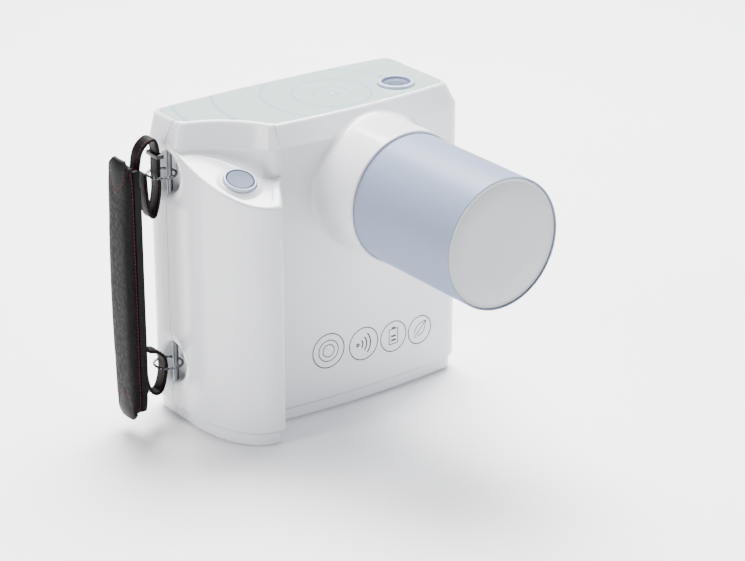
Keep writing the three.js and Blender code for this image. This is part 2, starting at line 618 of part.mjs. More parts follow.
function makeRearControls() {
  let panel = rearBand(...rearPanelEdges, 0, PANEL_THICKNESS);
  panel = panel.subtract(rearBand(...grown(windowEdges, SEAT), -3, 3));
  keyPlaces.forEach(([, x, z]) => {
    panel = panel.subtract(toSolid(rearward(disc(KEY_RADIUS + RUN, -9, 5, 16), x, REAR_Y, z)));
  });
  addSolid('rear_panel', panel, 'panel');
  addSolid('display_window', rearBand(...windowEdges, 0, PANEL_THICKNESS), 'blackPlastic');
  keyPlaces.forEach(([name, x, z]) => {
    const face = rearAt(x, 0) + KEY_PROUD;
    const flange = rearAt(x + KEY_RADIUS + KEY_FLANGE, WALL) - 0.8;
    const board = KEY_BOARD_Y + BOARD_THICKNESS + SEAT + KEY_TRAVEL;
    const profile = [
      [0, board], [KEY_STEM_RADIUS, board], [KEY_STEM_RADIUS, flange - 1],
      [KEY_RADIUS + KEY_FLANGE, flange - 1], [KEY_RADIUS + KEY_FLANGE, flange],
      [KEY_RADIUS, flange], [KEY_RADIUS, face - 0.4],
      [KEY_RADIUS - 0.4, face], [0, face],
    ];
    addGeometry(name, rearward(turned(profile, 16), x, 0, z), 'key');
  });
  const reach = KEY_PITCH + KEY_RADIUS;
  addGeometry('key_board', box(KEYS_X - reach, KEYS_X + reach - 1, KEY_BOARD_Y, KEY_BOARD_Y + BOARD_THICKNESS,
    KEYS_Z - reach, KEYS_Z + reach), 'board');
  const [x0, x1, z0, z1] = windowEdges;
  addGeometry('display_module',
    box(x0, x1, KEY_BOARD_Y, KEY_BOARD_Y + DISPLAY_MODULE_DEPTH, z0, z1), 'blackPlastic');
  const bore = SOCKET_RADIUS - 1.4;
  const socket = turned([
    [0, 0], [SOCKET_RADIUS, 0], [SOCKET_RADIUS, SOCKET_DEPTH], [bore, SOCKET_DEPTH],
    [bore, 2], [0.8, 2], [0.8, SOCKET_DEPTH - 2], [0, SOCKET_DEPTH - 2],
  ], 20);
  const socketY = rearAt(SOCKET_X, 0) - SOCKET_DEPTH;
  addGeometry('charging_socket', rearward(socket, SOCKET_X, socketY, SOCKET_Z), 'blackPlastic');
}

// ---------------------------------------------------------------- beam parts
function makeBeam() {
  const onBeam = (geometry) => forward(geometry, 0, 0, BEAM_HEIGHT);
  const bore = CONE_RADIUS - CONE_WALL;
  addGeometry('cone_tube', onBeam(ring(bore, CONE_RADIUS, -CONE_DEPTH, CONE_LENGTH, 36)), 'cone');
  const capBack = CONE_LENGTH - CAP_SINK - CAP_THICKNESS;
  addGeometry('cone_end_cap', onBeam(disc(bore - SEAT, capBack, CONE_LENGTH - CAP_SINK, 36)), 'cap');
  const linerRadius = bore - SEAT;
  addGeometry('cone_lead_liner',
    onBeam(ring(linerRadius - LINER_WALL, linerRadius, -CONE_DEPTH, capBack - SEAT, 24)), 'lead');
  const aperture = -CONE_DEPTH - SEAT;
  const apertureRadius = linerRadius - LINER_WALL / 2;
  addGeometry('aperture_plate',
    onBeam(ring(BEAM_PORT_RADIUS, apertureRadius, aperture - APERTURE_THICKNESS, aperture)), 'lead');
  const filter = aperture - APERTURE_THICKNESS - SEAT;
  const filterDisc = disc(BEAM_PORT_RADIUS + 3, filter - FILTER_THICKNESS, filter);
  addGeometry('aluminium_filter', onBeam(filterDisc), 'aluminium');
  const length = TANK_BACK_Y - TANK_FRONT_Y;
  const can = ring(BEAM_PORT_RADIUS, TANK_RADIUS, 0, length, 32);
  const hollow = disc(TANK_RADIUS - TANK_WALL, TANK_WALL, length + EXTRA, 32);
  const tank = toSolid(rearward(can, 0, TANK_FRONT_Y, BEAM_HEIGHT))
    .subtract(toSolid(rearward(hollow, 0, TANK_FRONT_Y, BEAM_HEIGHT)));
  addSolid('tube_head_tank', tank, 'aluminium');
  addGeometry('tube_head_lid',
    rearward(disc(TANK_RADIUS, SEAT, SEAT + TANK_WALL, 24), 0, TANK_BACK_Y, BEAM_HEIGHT), 'aluminium');
  const jacket = TANK_RADIUS - TANK_WALL - SEAT;
  const jacketRing = ring(jacket - JACKET_WALL, jacket, TANK_WALL + SEAT, length);
  addGeometry('lead_jacket', rearward(jacketRing, 0, TANK_FRONT_Y, BEAM_HEIGHT), 'lead');
}

function makeXrayTube() {
  const centreY = (TANK_FRONT_Y + TANK_WALL + TANK_BACK_Y) / 2;
  const across = (geometry) => geometry.rotateY(Math.PI / 2).translate(0, centreY, BEAM_HEIGHT);
  const half = GLASS_LENGTH / 2;
  const plug = GLASS_RADIUS - GLASS_WALL - SEAT;
  addGeometry('tube_glass', across(ring(GLASS_RADIUS - GLASS_WALL, GLASS_RADIUS, -half, half, 24)), 'glass');
  const stem = turned([
    [0, -half], [plug, -half], [plug, -half + 4], [5, -half + 4], [5, 0], [0, 0],
  ], 24);
  const slant = box(-15, 15, -15, 15, 0, 30).rotateX(Math.PI / 4).translate(0, 0, -5);
  addSolid('tube_anode', toSolid(across(stem)).subtract(toSolid(across(slant))), 'copper');
  const cathode = turned([
    [0, 6], [4, 6], [4, half - 4], [plug, half - 4], [plug, half], [0, half],
  ], 24);
  addGeometry('tube_cathode', across(cathode), 'steel');
}

// ---------------------------------------------------------------- power and control parts inside
function makeInside() {
  const pitch = 2 * CELL_RADIUS + CELL_GAP;
  const lastY = REAR_Y - WALL - CELL_MARGIN - CELL_RADIUS;
  const firstY = lastY - pitch * (CELL_COUNT - 1);
  for (let i = 0; i < CELL_COUNT; i += 1) {
    const cell = turned([
      [0, 0], [CELL_RADIUS, 0], [CELL_RADIUS, CELL_LENGTH - 1], [3.5, CELL_LENGTH - 1], [3.5, CELL_LENGTH],
      [0, CELL_LENGTH],
    ], 20);
    cell.translate(CELL_X, firstY + i * pitch, CELL_BOTTOM);
    addGeometry(`battery_cell_${i + 1}`, cell, 'cell');
  }
  const ends = [
    CELL_X - CELL_RADIUS, CELL_X + CELL_RADIUS, firstY - CELL_RADIUS, lastY + CELL_RADIUS - 4,
  ];
  const trayTop = CELL_BOTTOM - SEAT;
  addGeometry('battery_tray', box(...ends, trayTop - TRAY_THICKNESS, trayTop), 'blackPlastic');
  const plateBottom = CELL_BOTTOM + CELL_LENGTH + SEAT;
  addGeometry('battery_contact_plate', box(...ends, plateBottom, plateBottom + 1), 'steel');

  const across = (width) => [-width / 2, width / 2];
  const along = (y, depth) => [y - depth / 2, y + depth / 2];
  const tankBottom = BEAM_HEIGHT - TANK_RADIUS;
  const blockTop = tankBottom - BLOCK_GAP;
  addGeometry('high_voltage_block',
    box(...across(BLOCK_WIDTH), ...along(BLOCK_Y, BLOCK_DEPTH), blockTop - BLOCK_HEIGHT, blockTop), 'resin');
  const coreTop = blockTop - BLOCK_HEIGHT - BLOCK_GAP;
  const coreBottom = coreTop - CORE_HEIGHT;
  const windowBottom = coreBottom + CORE_YOKE;
  const windowTop = coreTop - CORE_YOKE;
  const leg = CORE_LEG / 2;
  const coreWindow = toSolid(box(leg, leg + CORE_WINDOW, 0, CORE_Y * 2, windowBottom, windowTop));
  const core = toSolid(box(...across(CORE_WIDTH), ...along(CORE_Y, CORE_DEPTH), coreBottom, coreTop))
    .subtract(coreWindow)
    .subtract(coreWindow.mirror([1, 0, 0]));
  addSolid('transformer_core', core, 'resin');
  const roundLeg = (gap) => [...across(CORE_LEG + 2 * gap), ...along(CORE_Y, CORE_DEPTH + 2 * gap)];
  const coil = toSolid(box(...roundLeg(SEAT + COIL_WALL), windowBottom + EXTRA, windowTop - EXTRA))
    .subtract(toSolid(box(...roundLeg(SEAT), windowBottom, windowTop)));
  addSolid('transformer_coil', coil, 'copper');

  const boardTop = MAIN_BOARD_Y + BOARD_THICKNESS;
  addGeometry('main_board',
    box(BOARD_LEFT, BODY_RIGHT - BOARD_MARGIN, MAIN_BOARD_Y, boardTop, BOARD_BOTTOM, tankBottom - BOARD_GAP),
    'board');
  addGeometry('processor', box(-10, 4, boardTop + SEAT, boardTop + SEAT + 2, 40, 54), 'blackPlastic');
  addGeometry('capacitor', forward(disc(5, 0, 22, 20), 36, MAIN_BOARD_Y - SEAT, 34), 'resin');
  addGeometry('buzzer', rearward(disc(6, SEAT, 5, 20), -34, boardTop, 28), 'blackPlastic');
}

function makeFastenings() {
  footPlaces.forEach(([name, x, y]) => {
    addGeometry(name, disc(FOOT_RADIUS, 0, FOOT_HEIGHT + FOOT_SINK - SEAT, 20).translate(x, y, 0), 'rubber');
  });
  screwPlaces.forEach(([name, x, z]) => {
    const screw = turned([
      [0, -SCREW_LENGTH], [SCREW_RADIUS, -SCREW_LENGTH], [SCREW_RADIUS, SEAT], [SCREW_HEAD_RADIUS, SEAT],
      [SCREW_HEAD_RADIUS, SCREW_HEAD_HEIGHT], [0, SCREW_HEAD_HEIGHT],
    ], 12);
    addGeometry(name, rearward(screw, x, SCREW_SEAT_Y, z), 'steel');
  });
}

// ---------------------------------------------------------------- strap
// A flat strap along a path given as [x, z] points, all on the plane of the posts.
function strap(name, places) {
  const route = new THREE.CatmullRomCurve3(places.map(([x, z]) => new THREE.Vector3(x, PARTING_Y, z)));
  const steps = 20;
  const half = STRAP_THICKNESS / 2;
  const samples = Array.from({ length: steps + 1 }, (_, i) => {
    const at = route.getPointAt(i / steps);
    const along = route.getTangentAt(i / steps);
    return { x: at.x, z: at.z, nx: along.z * half, nz: -along.x * half };
  });
  const outline = new THREE.Shape([
    ...samples.map(({ x, z, nx, nz }) => new THREE.Vector2(x + nx, z + nz)),
    ...samples.reverse().map(({ x, z, nx, nz }) => new THREE.Vector2(x - nx, z - nz)),
  ]);
  const band = new THREE.ExtrudeGeometry(outline, { depth: STRAP_WIDTH, bevelEnabled: false });
  addGeometry(name, band.rotateX(Math.PI / 2).translate(0, PARTING_Y + STRAP_WIDTH / 2, 0), 'leather');
}

function makeStrap() {
  for (const [label, z] of [['upper', STRAP_UPPER_Z], ['lower', STRAP_LOWER_Z]]) {
    const post = disc(POST_RADIUS, -POST_LENGTH / 2, POST_LENGTH / 2, 12);
    addGeometry(`strap_post_${label}`, post.translate(POST_X, PARTING_Y, z), 'steel');
    const hoop = new THREE.TorusGeometry(RING_RADIUS, RING_WIRE, 6, 24);
    addGeometry(`strap_ring_${label}`, hoop.translate(RING_X, PARTING_Y, z), 'steel');
  }
  const padBack = PAD_X + PAD_THICKNESS / 2;
  const height = PAD_TOP - PAD_BOTTOM;
  const bow = (z) => PAD_BOW * (1 - ((z - PAD_BOTTOM - height / 2) / (height / 2)) ** 2);
  const levels = Array.from({ length: 7 }, (_, i) => PAD_BOTTOM + height * i / 6);
  const padPlan = (z) => {
    const near = PARTING_Y - PAD_WIDTH / 2;
    const far = PARTING_Y + PAD_WIDTH / 2;
    const front = padBack - PAD_THICKNESS - bow(z);
    const round = 2.5;
    return [
      [padBack, near], [padBack, far], [front + round, far], [front, far - round], [front, near + round],
      [front + round, near],
    ];
  };
  addGeometry('hand_pad', loft(levels.map((z) => ({ z, points: padPlan(z) }))), 'leather');
  const back = padBack + SEAT;
  addGeometry('pad_backing', box(back, back + BACKING_THICKNESS, PARTING_Y - STRAP_WIDTH,
    PARTING_Y + STRAP_WIDTH, PAD_BOTTOM + BACKING_MARGIN, PAD_TOP - BACKING_MARGIN), 'leather');
  const behind = back + BACKING_THICKNESS + SEAT + STRAP_THICKNESS / 2;
  const drop = STRAP_DROP_X;
  strap('upper_strap', [
    [behind, STRAP_UPPER_Z - 18], [behind, STRAP_UPPER_Z + 2], [behind + 2, STRAP_UPPER_Z + 14],
    [behind + 7, STRAP_UPPER_Z + 20], [drop - 1.5, STRAP_UPPER_Z + 19], [drop, STRAP_UPPER_Z + 12],
    [drop, STRAP_UPPER_Z - 8], [drop - 2.5, STRAP_UPPER_Z - 20], [drop - 5, STRAP_UPPER_Z - 21],
    [drop - 7, STRAP_UPPER_Z - 10], [drop - 8, STRAP_UPPER_Z + 3],
  ]);
  strap('lower_strap', [
    [behind, STRAP_LOWER_Z + 24], [behind, STRAP_LOWER_Z + 16], [behind + 3, STRAP_LOWER_Z + 11],
    [behind + 8, STRAP_LOWER_Z + 9], [drop, STRAP_LOWER_Z + 4], [drop, STRAP_LOWER_Z - 4],
    [drop - 2.5, STRAP_LOWER_Z - 12], [drop - 6.5, STRAP_LOWER_Z - 14], [behind + 2, STRAP_LOWER_Z - 8],
    [behind, STRAP_LOWER_Z + 2],
  ]);
  const wide = STRAP_WIDTH / 2 + SEAT;
  const thick = STRAP_THICKNESS / 2 + SEAT;
  const sliderBottom = STRAP_UPPER_Z + 9;
  const sliderTop = sliderBottom + SLIDER_HEIGHT;
  const frame = toSolid(box(drop - thick - SLIDER_RIM, drop + thick + SLIDER_RIM,
    PARTING_Y - wide - SLIDER_RIM, PARTING_Y + wide + SLIDER_RIM, sliderBottom, sliderTop));
  const hole = toSolid(box(drop - thick, drop + thick, PARTING_Y - wide, PARTING_Y + wide,
    sliderBottom - EXTRA, sliderTop + EXTRA));
  addSolid('strap_slider', frame.subtract(hole), 'blackPlastic');
}

makeShells();
makeTopPanel();
makePowerButton();
makeExposureButton();
makeRearControls();
makeBeam();
makeXrayTube();
makeInside();
makeFastenings();
makeStrap();

const extent = new THREE.Box3().setFromObject(group);
const middle = extent.getCenter(new THREE.Vector3());
group.position.set(-middle.x, -middle.y, -extent.min.z);

export default group;
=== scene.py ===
"""Handheld intraoral x-ray unit: the visible pieces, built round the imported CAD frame."""

import math

import bmesh
import bpy
from mathutils import Matrix, Vector


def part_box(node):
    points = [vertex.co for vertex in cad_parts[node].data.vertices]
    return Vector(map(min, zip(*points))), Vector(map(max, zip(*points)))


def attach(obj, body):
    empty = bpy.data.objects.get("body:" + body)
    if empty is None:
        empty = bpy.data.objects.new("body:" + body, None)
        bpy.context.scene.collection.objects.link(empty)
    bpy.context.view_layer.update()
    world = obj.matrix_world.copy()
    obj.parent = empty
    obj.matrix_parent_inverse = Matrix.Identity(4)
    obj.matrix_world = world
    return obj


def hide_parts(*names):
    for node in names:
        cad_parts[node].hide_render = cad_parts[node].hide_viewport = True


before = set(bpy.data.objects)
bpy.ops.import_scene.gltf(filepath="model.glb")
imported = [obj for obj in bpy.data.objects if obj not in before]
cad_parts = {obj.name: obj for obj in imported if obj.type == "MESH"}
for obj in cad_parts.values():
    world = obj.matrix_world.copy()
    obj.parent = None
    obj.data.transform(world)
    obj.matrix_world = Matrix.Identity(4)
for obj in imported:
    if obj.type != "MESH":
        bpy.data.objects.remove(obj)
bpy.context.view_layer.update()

bl_info = {
    "name": "Handheld X-ray Unit",
    "version": (1, 0, 0),
    "blender": (4, 5, 0),
    "location": "View3D > Sidebar > X-ray Unit",
    "description": "Builds the housing, beam cone, controls and hand strap of a handheld dental x-ray unit",
    "category": "Add Mesh",
}

MM = 0.001
CONE_LOW, CONE_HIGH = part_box("cone_tube")
CAP_LOW, CAP_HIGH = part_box("cone_end_cap")
FRONT_LOW, FRONT_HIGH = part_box("front_shell")
REAR_LOW, REAR_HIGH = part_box("rear_shell")
_, PANEL_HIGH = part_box("top_panel")
CONE_BEHIND_FRONT = 4 * MM
# Drawing origin: under the beam's axis, at the most forward point of the housing's front face, on the floor.
ORIGIN = Vector(((CONE_LOW.x + CONE_HIGH.x) / 2, CONE_HIGH.y - CONE_BEHIND_FRONT, 0))


def drawn(corner):
    """A place in the frame as drawing millimetres."""
    return (corner - ORIGIN) / MM


def drawn_box(node):
    """Lowest and highest corners of a CAD node, in drawing millimetres."""
    return [drawn(corner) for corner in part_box(node)]


def measured(node):
    """Lowest corner, highest corner and centre of a CAD node, and its radius across X in millimetres."""
    low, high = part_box(node)
    return low, high, (low + high) / 2, (high.x - low.x) / 2 / MM


def node_centre(node):
    """Centre of a CAD node's box."""
    return measured(node)[2]


BEAM_Z = drawn((CONE_LOW + CONE_HIGH) / 2).z
PARTING_Y = (drawn(FRONT_HIGH).y + drawn(REAR_LOW).y) / 2
SHELL_GAP = drawn(REAR_LOW).y - drawn(FRONT_HIGH).y
FEET = ["foot_front_left", "foot_front_right", "foot_rear_left", "foot_rear_right"]
KEYS = ["key_left", "key_right", "key_up", "key_down", "key_select"]
SCREWS = ["screw_lower_left", "screw_lower_right", "screw_upper_left", "screw_upper_right"]
POSTS = ["strap_post_upper", "strap_post_lower"]
UP = Vector((0, 0, 1))
REARWARD = Vector((0, 1, 0))


# ---------------------------------------------------------------- sizes and colours
def length(name, description, millimetres):
    """A length property, shown in the scene's units."""
    return bpy.props.FloatProperty(
        name=name, description=description, default=millimetres * MM, unit="LENGTH", precision=5
    )


class XRAY_PG_housing(bpy.types.PropertyGroup):
    """Sizes of the moulded housing."""

    left: length("Left side", "Outer left side, from the beam's axis", drawn(FRONT_LOW).x)
    right: length("Right side", "Outer right side, from the beam's axis", drawn(REAR_HIGH).x)
    rear: length("Rear", "Furthest point of the crowned rear face", drawn(REAR_HIGH).y)
    bottom: length("Bottom", "Underside of the shells above the floor", drawn(FRONT_LOW).z)
    top: length("Top", "Height of the top face", drawn(PANEL_HIGH).z)
    facet_height: length("Facet height", "How far below the top the upper facets start", 11)
    facet_lean: length("Facet lean", "How far the facets lean in", 5.3)
    wall: length("Wall", "Thickness of the moulding", 2.5)
    front_crown: length("Front crown", "Radius of the front face, seen from above", 450)
    rear_crown: length("Rear crown", "Radius of the rear face, seen from above", 1000)
    rear_apex: length("Rear apex", "Where the rear face stands out furthest", -50)
    ledge_height: length("Ledge height", "Height of the sloping ledge at its front", 127)
    ledge_front: length("Ledge front", "Where the ledge has that height", -17)
    ledge_slope: bpy.props.FloatProperty(
        name="Ledge slope", description="Rise of the ledge towards the rear", default=0.38
    )
    ledge_rim: length("Ledge rim", "Width of the raised rim round the ledge", 3.2)
    ledge_sink: length("Ledge sink", "How far the ledge lies below its rim", 0.9)
    ledge_round: length("Ledge edge", "Radius of the ledge's outer edge", 1.3)
    scoop_radius: length("Scoop radius", "Radius of the finger scoop's upright wall", 44)
    scoop_fillet: length("Scoop fillet", "Hollow between the ledge and the upright wall", 8)


class XRAY_PG_controls(bpy.types.PropertyGroup):
    """Sizes of the buttons, the panel and the display."""

    panel_border: length("Panel border", "White edge left round the top panel", 1.8)
    joint_gap: length("Joint gap", "Gap round a piece that sits in the housing", 0.25)
    key_icon: length("Key icon", "Size of the mark on each key", 3.4)


class XRAY_PG_strap(bpy.types.PropertyGroup):
    """Sizes of the hand strap."""

    stitch_pitch: length("Stitch pitch", "Distance from one stitch to the next", 2.0)
    stitch_length: length("Stitch length", "Length of one stitch", 1.5)
    thread: length("Thread", "Diameter of the sewing thread", 0.32)
    edge_margin: length("Edge margin", "Distance of the stitches from a strap's edge", 1.3)
    puff: bpy.props.FloatProperty(
        name="Pad pressure", description="Pressure that swells the pad in the cloth simulation", default=4.0
    )
    puff_limit: length("Pad swell limit", "Most that a point of the pad may move as it swells", 1.0)


def linear(hex_colour):
    """An sRGB hex colour as linear red, green, blue and alpha."""
    values = [int(hex_colour[i : i + 2], 16) / 255 for i in (1, 3, 5)]
    return [v / 12.92 if v <= 0.04045 else ((v + 0.055) / 1.055) ** 2.4 for v in values] + [1.0]


def colour(name, description, hex_colour):
    """A colour property."""
    return bpy.props.FloatVectorProperty(
        name=name, description=description, default=linear(hex_colour), size=4, subtype="COLOR", min=0, max=1
    )


class XRAY_PG_colours(bpy.types.PropertyGroup):
    """Colours of the visible finishes."""

    housing: colour("Housing", "White moulded plastic", "#dcdde1")
    panel: colour("Panel", "Printed panel film", "#aab9b6")
    panel_ring: colour("Panel rings", "Rings printed on the panel", "#93acb6")
    cone: colour("Cone", "Blue-grey beam cone", "#828da4")
    end_cap: colour("End cap", "Light grey end of the cone", "#b4b5b7")
    key: colour("Buttons", "Blue-grey button caps", "#435068")
    bezel: colour("Button rings", "Pale rings round the buttons", "#a9b5cb")
    lamp: colour("Lamp", "Cyan status lamp", "#3fd0d8")
    leather: colour("Leather", "Black leather", "#060607")
    thread: colour("Thread", "Red sewing thread", "#640a1e")
    ink: colour("Ink", "Dark grey printing ink", "#2b2d33")
    rubber: colour("Feet", "Grey rubber", "#4a4c50")


GROUPS = {
    "xray_housing": XRAY_PG_housing,
    "xray_controls": XRAY_PG_controls,
    "xray_strap": XRAY_PG_strap,
    "xray_colours": XRAY_PG_colours,
}


def size(group, name):
    """A length of one of the property groups, in drawing millimetres."""
    return getattr(getattr(bpy.context.scene, group), name) / MM


# ---------------------------------------------------------------- modelling
def at(x, y, z):
    """Drawing millimetres as a place in the frame."""
    return ORIGIN + Vector((x, y, z)) * MM


def at_y(y):
    """A drawing Y in millimetres as the frame's Y."""
    return at(0, y, 0).y


def arc(cx, cy, radius, start, end, steps):
    """Points of an arc, in degrees from start to end."""
    angles = [math.radians(start + (end - start) * i / steps) for i in range(steps + 1)]
    return [(cx + radius * math.cos(a), cy + radius * math.sin(a)) for a in angles]


def start_loop(name, places):
    """A new mesh in edit mode that holds one closed loop of edges through the places."""
    bpy.ops.object.select_all(action="DESELECT")
    bpy.ops.mesh.primitive_circle_add(
        vertices=len(places), radius=MM, fill_type="NOTHING", location=(0, 0, 0)
    )
    piece = bpy.context.object
    piece.name = piece.data.name = name
    for vertex, place in zip(piece.data.vertices, places):
        vertex.co = place
    bpy.ops.object.mode_set(mode="EDIT")
    bpy.ops.mesh.select_mode(type="VERT")
    bpy.ops.mesh.select_all(action="SELECT")
    return piece


def close_mesh(piece, merge=0.002 * MM):
    """Leaves edit mode with doubles merged and all faces pointing out."""
    bpy.ops.mesh.select_all(action="SELECT")
    bpy.ops.mesh.remove_doubles(threshold=merge)
    bpy.ops.mesh.dissolve_degenerate(threshold=merge)
    bpy.ops.mesh.select_all(action="SELECT")
    bpy.ops.mesh.normals_make_consistent(inside=False)
    bpy.ops.object.mode_set(mode="OBJECT")
    return piece


def loft(name, rings, closed=False):
    """A solid through rings of equally many places, each extruded from the one before and put in place.
    A closed loft joins its last ring to its first, and an open one is capped at both ends."""
    piece = start_loop(name, rings[0])
    order = list(range(len(rings[0])))
    first = list(order)
    for ring in rings[1:] + (rings[:1] if closed else []):
        bpy.ops.mesh.extrude_region()
        mesh = bmesh.from_edit_mesh(piece.data)
        mesh.verts.ensure_lookup_table()
        follower = {}
        for vertex in mesh.verts:
            if vertex.select:
                beside = [edge.other_vert(vertex) for edge in vertex.link_edges]
                follower[next(v for v in beside if not v.select).index] = vertex.index
        order = [follower[i] for i in order]
        for index, place in zip(order, ring):
            mesh.verts[index].co = place
        bmesh.update_edit_mesh(piece.data)
    if not closed:
        bpy.ops.mesh.edge_face_add()
        mesh = bmesh.from_edit_mesh(piece.data)
        mesh.verts.ensure_lookup_table()
        for vertex in mesh.verts:
            vertex.select = False
        for index in first:
            mesh.verts[index].select = True
        mesh.select_flush(True)
        bmesh.update_edit_mesh(piece.data)
        bpy.ops.mesh.edge_face_add()
    return close_mesh(piece)


def turned(name, profile, centre, axis, steps=64):
    """A solid of revolution by spin. The profile is (radius, distance along the axis) in millimetres.
    It starts and ends on the axis, or it is a closed section that stays clear of it."""
    axis = Vector(axis).normalized()
    side = axis.orthogonal().normalized()
    if abs(axis.z) < 0.5:
        side = axis.cross(Vector((0, 0, 1))).normalized()
    places = [centre + (side * r + axis * h) * MM for r, h in profile]
    piece = start_loop(name, places)
    if profile[0][0] == 0 and profile[-1][0] == 0:
        mesh = bmesh.from_edit_mesh(piece.data)
        mesh.verts.ensure_lookup_table()
        last = mesh.edges.get((mesh.verts[0], mesh.verts[len(profile) - 1]))
        bpy.ops.mesh.select_all(action="DESELECT")
        last.select = True
        bmesh.update_edit_mesh(piece.data)
        bpy.ops.mesh.select_mode(type="EDGE")
        last.select = True
        bpy.ops.mesh.delete(type="EDGE")
        bpy.ops.mesh.select_mode(type="VERT")
        bpy.ops.mesh.select_all(action="SELECT")
    bpy.ops.mesh.spin(steps=steps, angle=2 * math.pi, center=centre, axis=axis)
    return close_mesh(piece)


def block(name, low, high, bevel=0.0, segments=3):
    """A box between two places, its edges rounded."""
    bpy.ops.object.select_all(action="DESELECT")
    bpy.ops.mesh.primitive_cube_add(size=1, location=(low + high) / 2, scale=high - low)
    piece = bpy.context.object
    piece.name = piece.data.name = name
    bpy.ops.object.transform_apply(location=True, rotation=True, scale=True)
    if bevel:
        bpy.ops.object.mode_set(mode="EDIT")
        bpy.ops.mesh.select_all(action="SELECT")
        bpy.ops.mesh.bevel(offset=bevel * MM, segments=segments, affect="EDGES")
        close_mesh(piece)
    return piece


def apply_modifier(piece, kind, **settings):
    """Adds a modifier with its settings and applies it."""
    bpy.ops.object.select_all(action="DESELECT")
    bpy.context.view_layer.objects.active = piece
    piece.select_set(True)
    modifier = piece.modifiers.new(kind.title(), kind)
    for key, value in settings.items():
        setattr(modifier, key, value)
    bpy.ops.object.modifier_apply(modifier=modifier.name)


def combine(piece, other, operation):
    """Joins, cuts or intersects a piece with another, which is then removed."""
    apply_modifier(piece, "BOOLEAN", object=other, operation=operation, solver="MANIFOLD")
    bpy.data.objects.remove(other, do_unlink=True)


def cut(piece, tool):
    """Cuts a tool out of a piece."""
    combine(piece, tool, "DIFFERENCE")


def join(name, pieces):
    """One piece out of several."""
    bpy.ops.object.select_all(action="DESELECT")
    for piece in pieces:
        piece.select_set(True)
    bpy.context.view_layer.objects.active = pieces[0]
    bpy.ops.object.join()
    joined = bpy.context.object
    joined.name = joined.data.name = name
    return joined


def finish_piece(piece, finish, body, *nodes, angle=32.0, weighted=False):
    """Shades a piece, gives it its finish, hides the CAD nodes it stands for and rides it on its body."""
    bpy.ops.object.select_all(action="DESELECT")
    bpy.context.view_layer.objects.active = piece
    piece.select_set(True)
    bpy.ops.object.shade_smooth_by_angle(angle=math.radians(angle))
    if weighted:
        apply_modifier(piece, "WEIGHTED_NORMAL", keep_sharp=True, weight=50)
    piece.data.materials.clear()
    piece.data.materials.append(material_for(finish))
    if nodes:
        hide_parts(*nodes)
    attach(piece, body)
    return piece


# ---------------------------------------------------------------- materials
def add_node(tree, kind, settings):
    """Adds a shader node and sets its properties, or its inputs by name or number: a socket is linked."""
    node = tree.nodes.new(kind)
    for key, value in settings.items():
        if isinstance(key, str) and key not in node.inputs:
            setattr(node, key, value)
        elif isinstance(value, bpy.types.NodeSocket):
            tree.links.new(value, node.inputs[key])
        else:
            node.inputs[key].default_value = value
    return node


def new_material(name, base, roughness, metallic=0.0, **shader):
    """A material with one Principled shader; returns it with its tree, shader and Object coordinates."""
    material = bpy.data.materials.new(name)
    material.use_nodes = True
    tree = material.node_tree
    surface = tree.nodes["Principled BSDF"]
    surface.inputs["Base Color"].default_value = base
    surface.inputs["Roughness"].default_value = roughness
    surface.inputs["Metallic"].default_value = metallic
    for key, value in shader.items():
        surface.inputs[key.replace("_", " ")].default_value = value
    places = tree.nodes.new("ShaderNodeTexCoord").outputs["Object"]
    return material, tree, surface, places


def per_metre(feature_mm):
    """Texture scale at which one feature is that many millimetres wide."""
    return 1 / (feature_mm * MM)


def scaled(base, factor):
    """A linear colour, lighter or darker by a factor."""
    return [min(1.0, c * factor) for c in base[:3]] + [1.0]


def roughen(tree, surface, places, feature_mm, low, high):
    """Lets the roughness wander between two values, as handling and moulding leave it."""
    noise = add_node(
        tree, "ShaderNodeTexNoise", {"Scale": per_metre(feature_mm), "Detail": 3.0, "Vector": places}
    )
    spread = add_node(
        tree, "ShaderNodeMapRange", {"To Min": low, "To Max": high, "Value": noise.outputs["Fac"]}
    )
    tree.links.new(spread.outputs["Result"], surface.inputs["Roughness"])


def relief(tree, surface, depth_mm, kind, output, settings):
    """Presses a texture's pattern into the surface, to a real depth."""
    pattern = add_node(tree, kind, settings).outputs[output]
    bump = add_node(
        tree, "ShaderNodeBump", {"Strength": 1.0, "Distance": depth_mm * MM, "Height": pattern}
    )
    tree.links.new(bump.outputs["Normal"], surface.inputs["Normal"])
    return pattern


def tint(tree, surface, places, base, feature_mm, amount):
    """Lets a colour drift a little lighter and darker over the piece; returns the drifting colour."""
    noise = add_node(
        tree, "ShaderNodeTexNoise", {"Scale": per_metre(feature_mm), "Detail": 2.0, "Vector": places}
    )
    mix = add_node(tree, "ShaderNodeMix", {
        "data_type": "RGBA", 0: noise.outputs["Fac"],
        6: scaled(base, 1 - amount), 7: scaled(base, 1 + amount),
    })
    tree.links.new(mix.outputs[2], surface.inputs["Base Color"])
    return mix.outputs[2]


def moulded_abs(name, base, roughness=0.17, shine=0.5):
    """Injection-moulded ABS: an even colour under a soft gloss with a faint orange peel."""
    material, tree, surface, places = new_material(name, base, roughness, IOR=1.52, Specular_IOR_Level=shine)
    tint(tree, surface, places, base, 60, 0.012)
    roughen(tree, surface, places, 25, roughness - 0.03, roughness + 0.04)
    relief(tree, surface, 0.004, "ShaderNodeTexNoise", "Fac", {
        "Scale": per_metre(0.5), "Detail": 2.0, "Vector": places,
    })
    return material


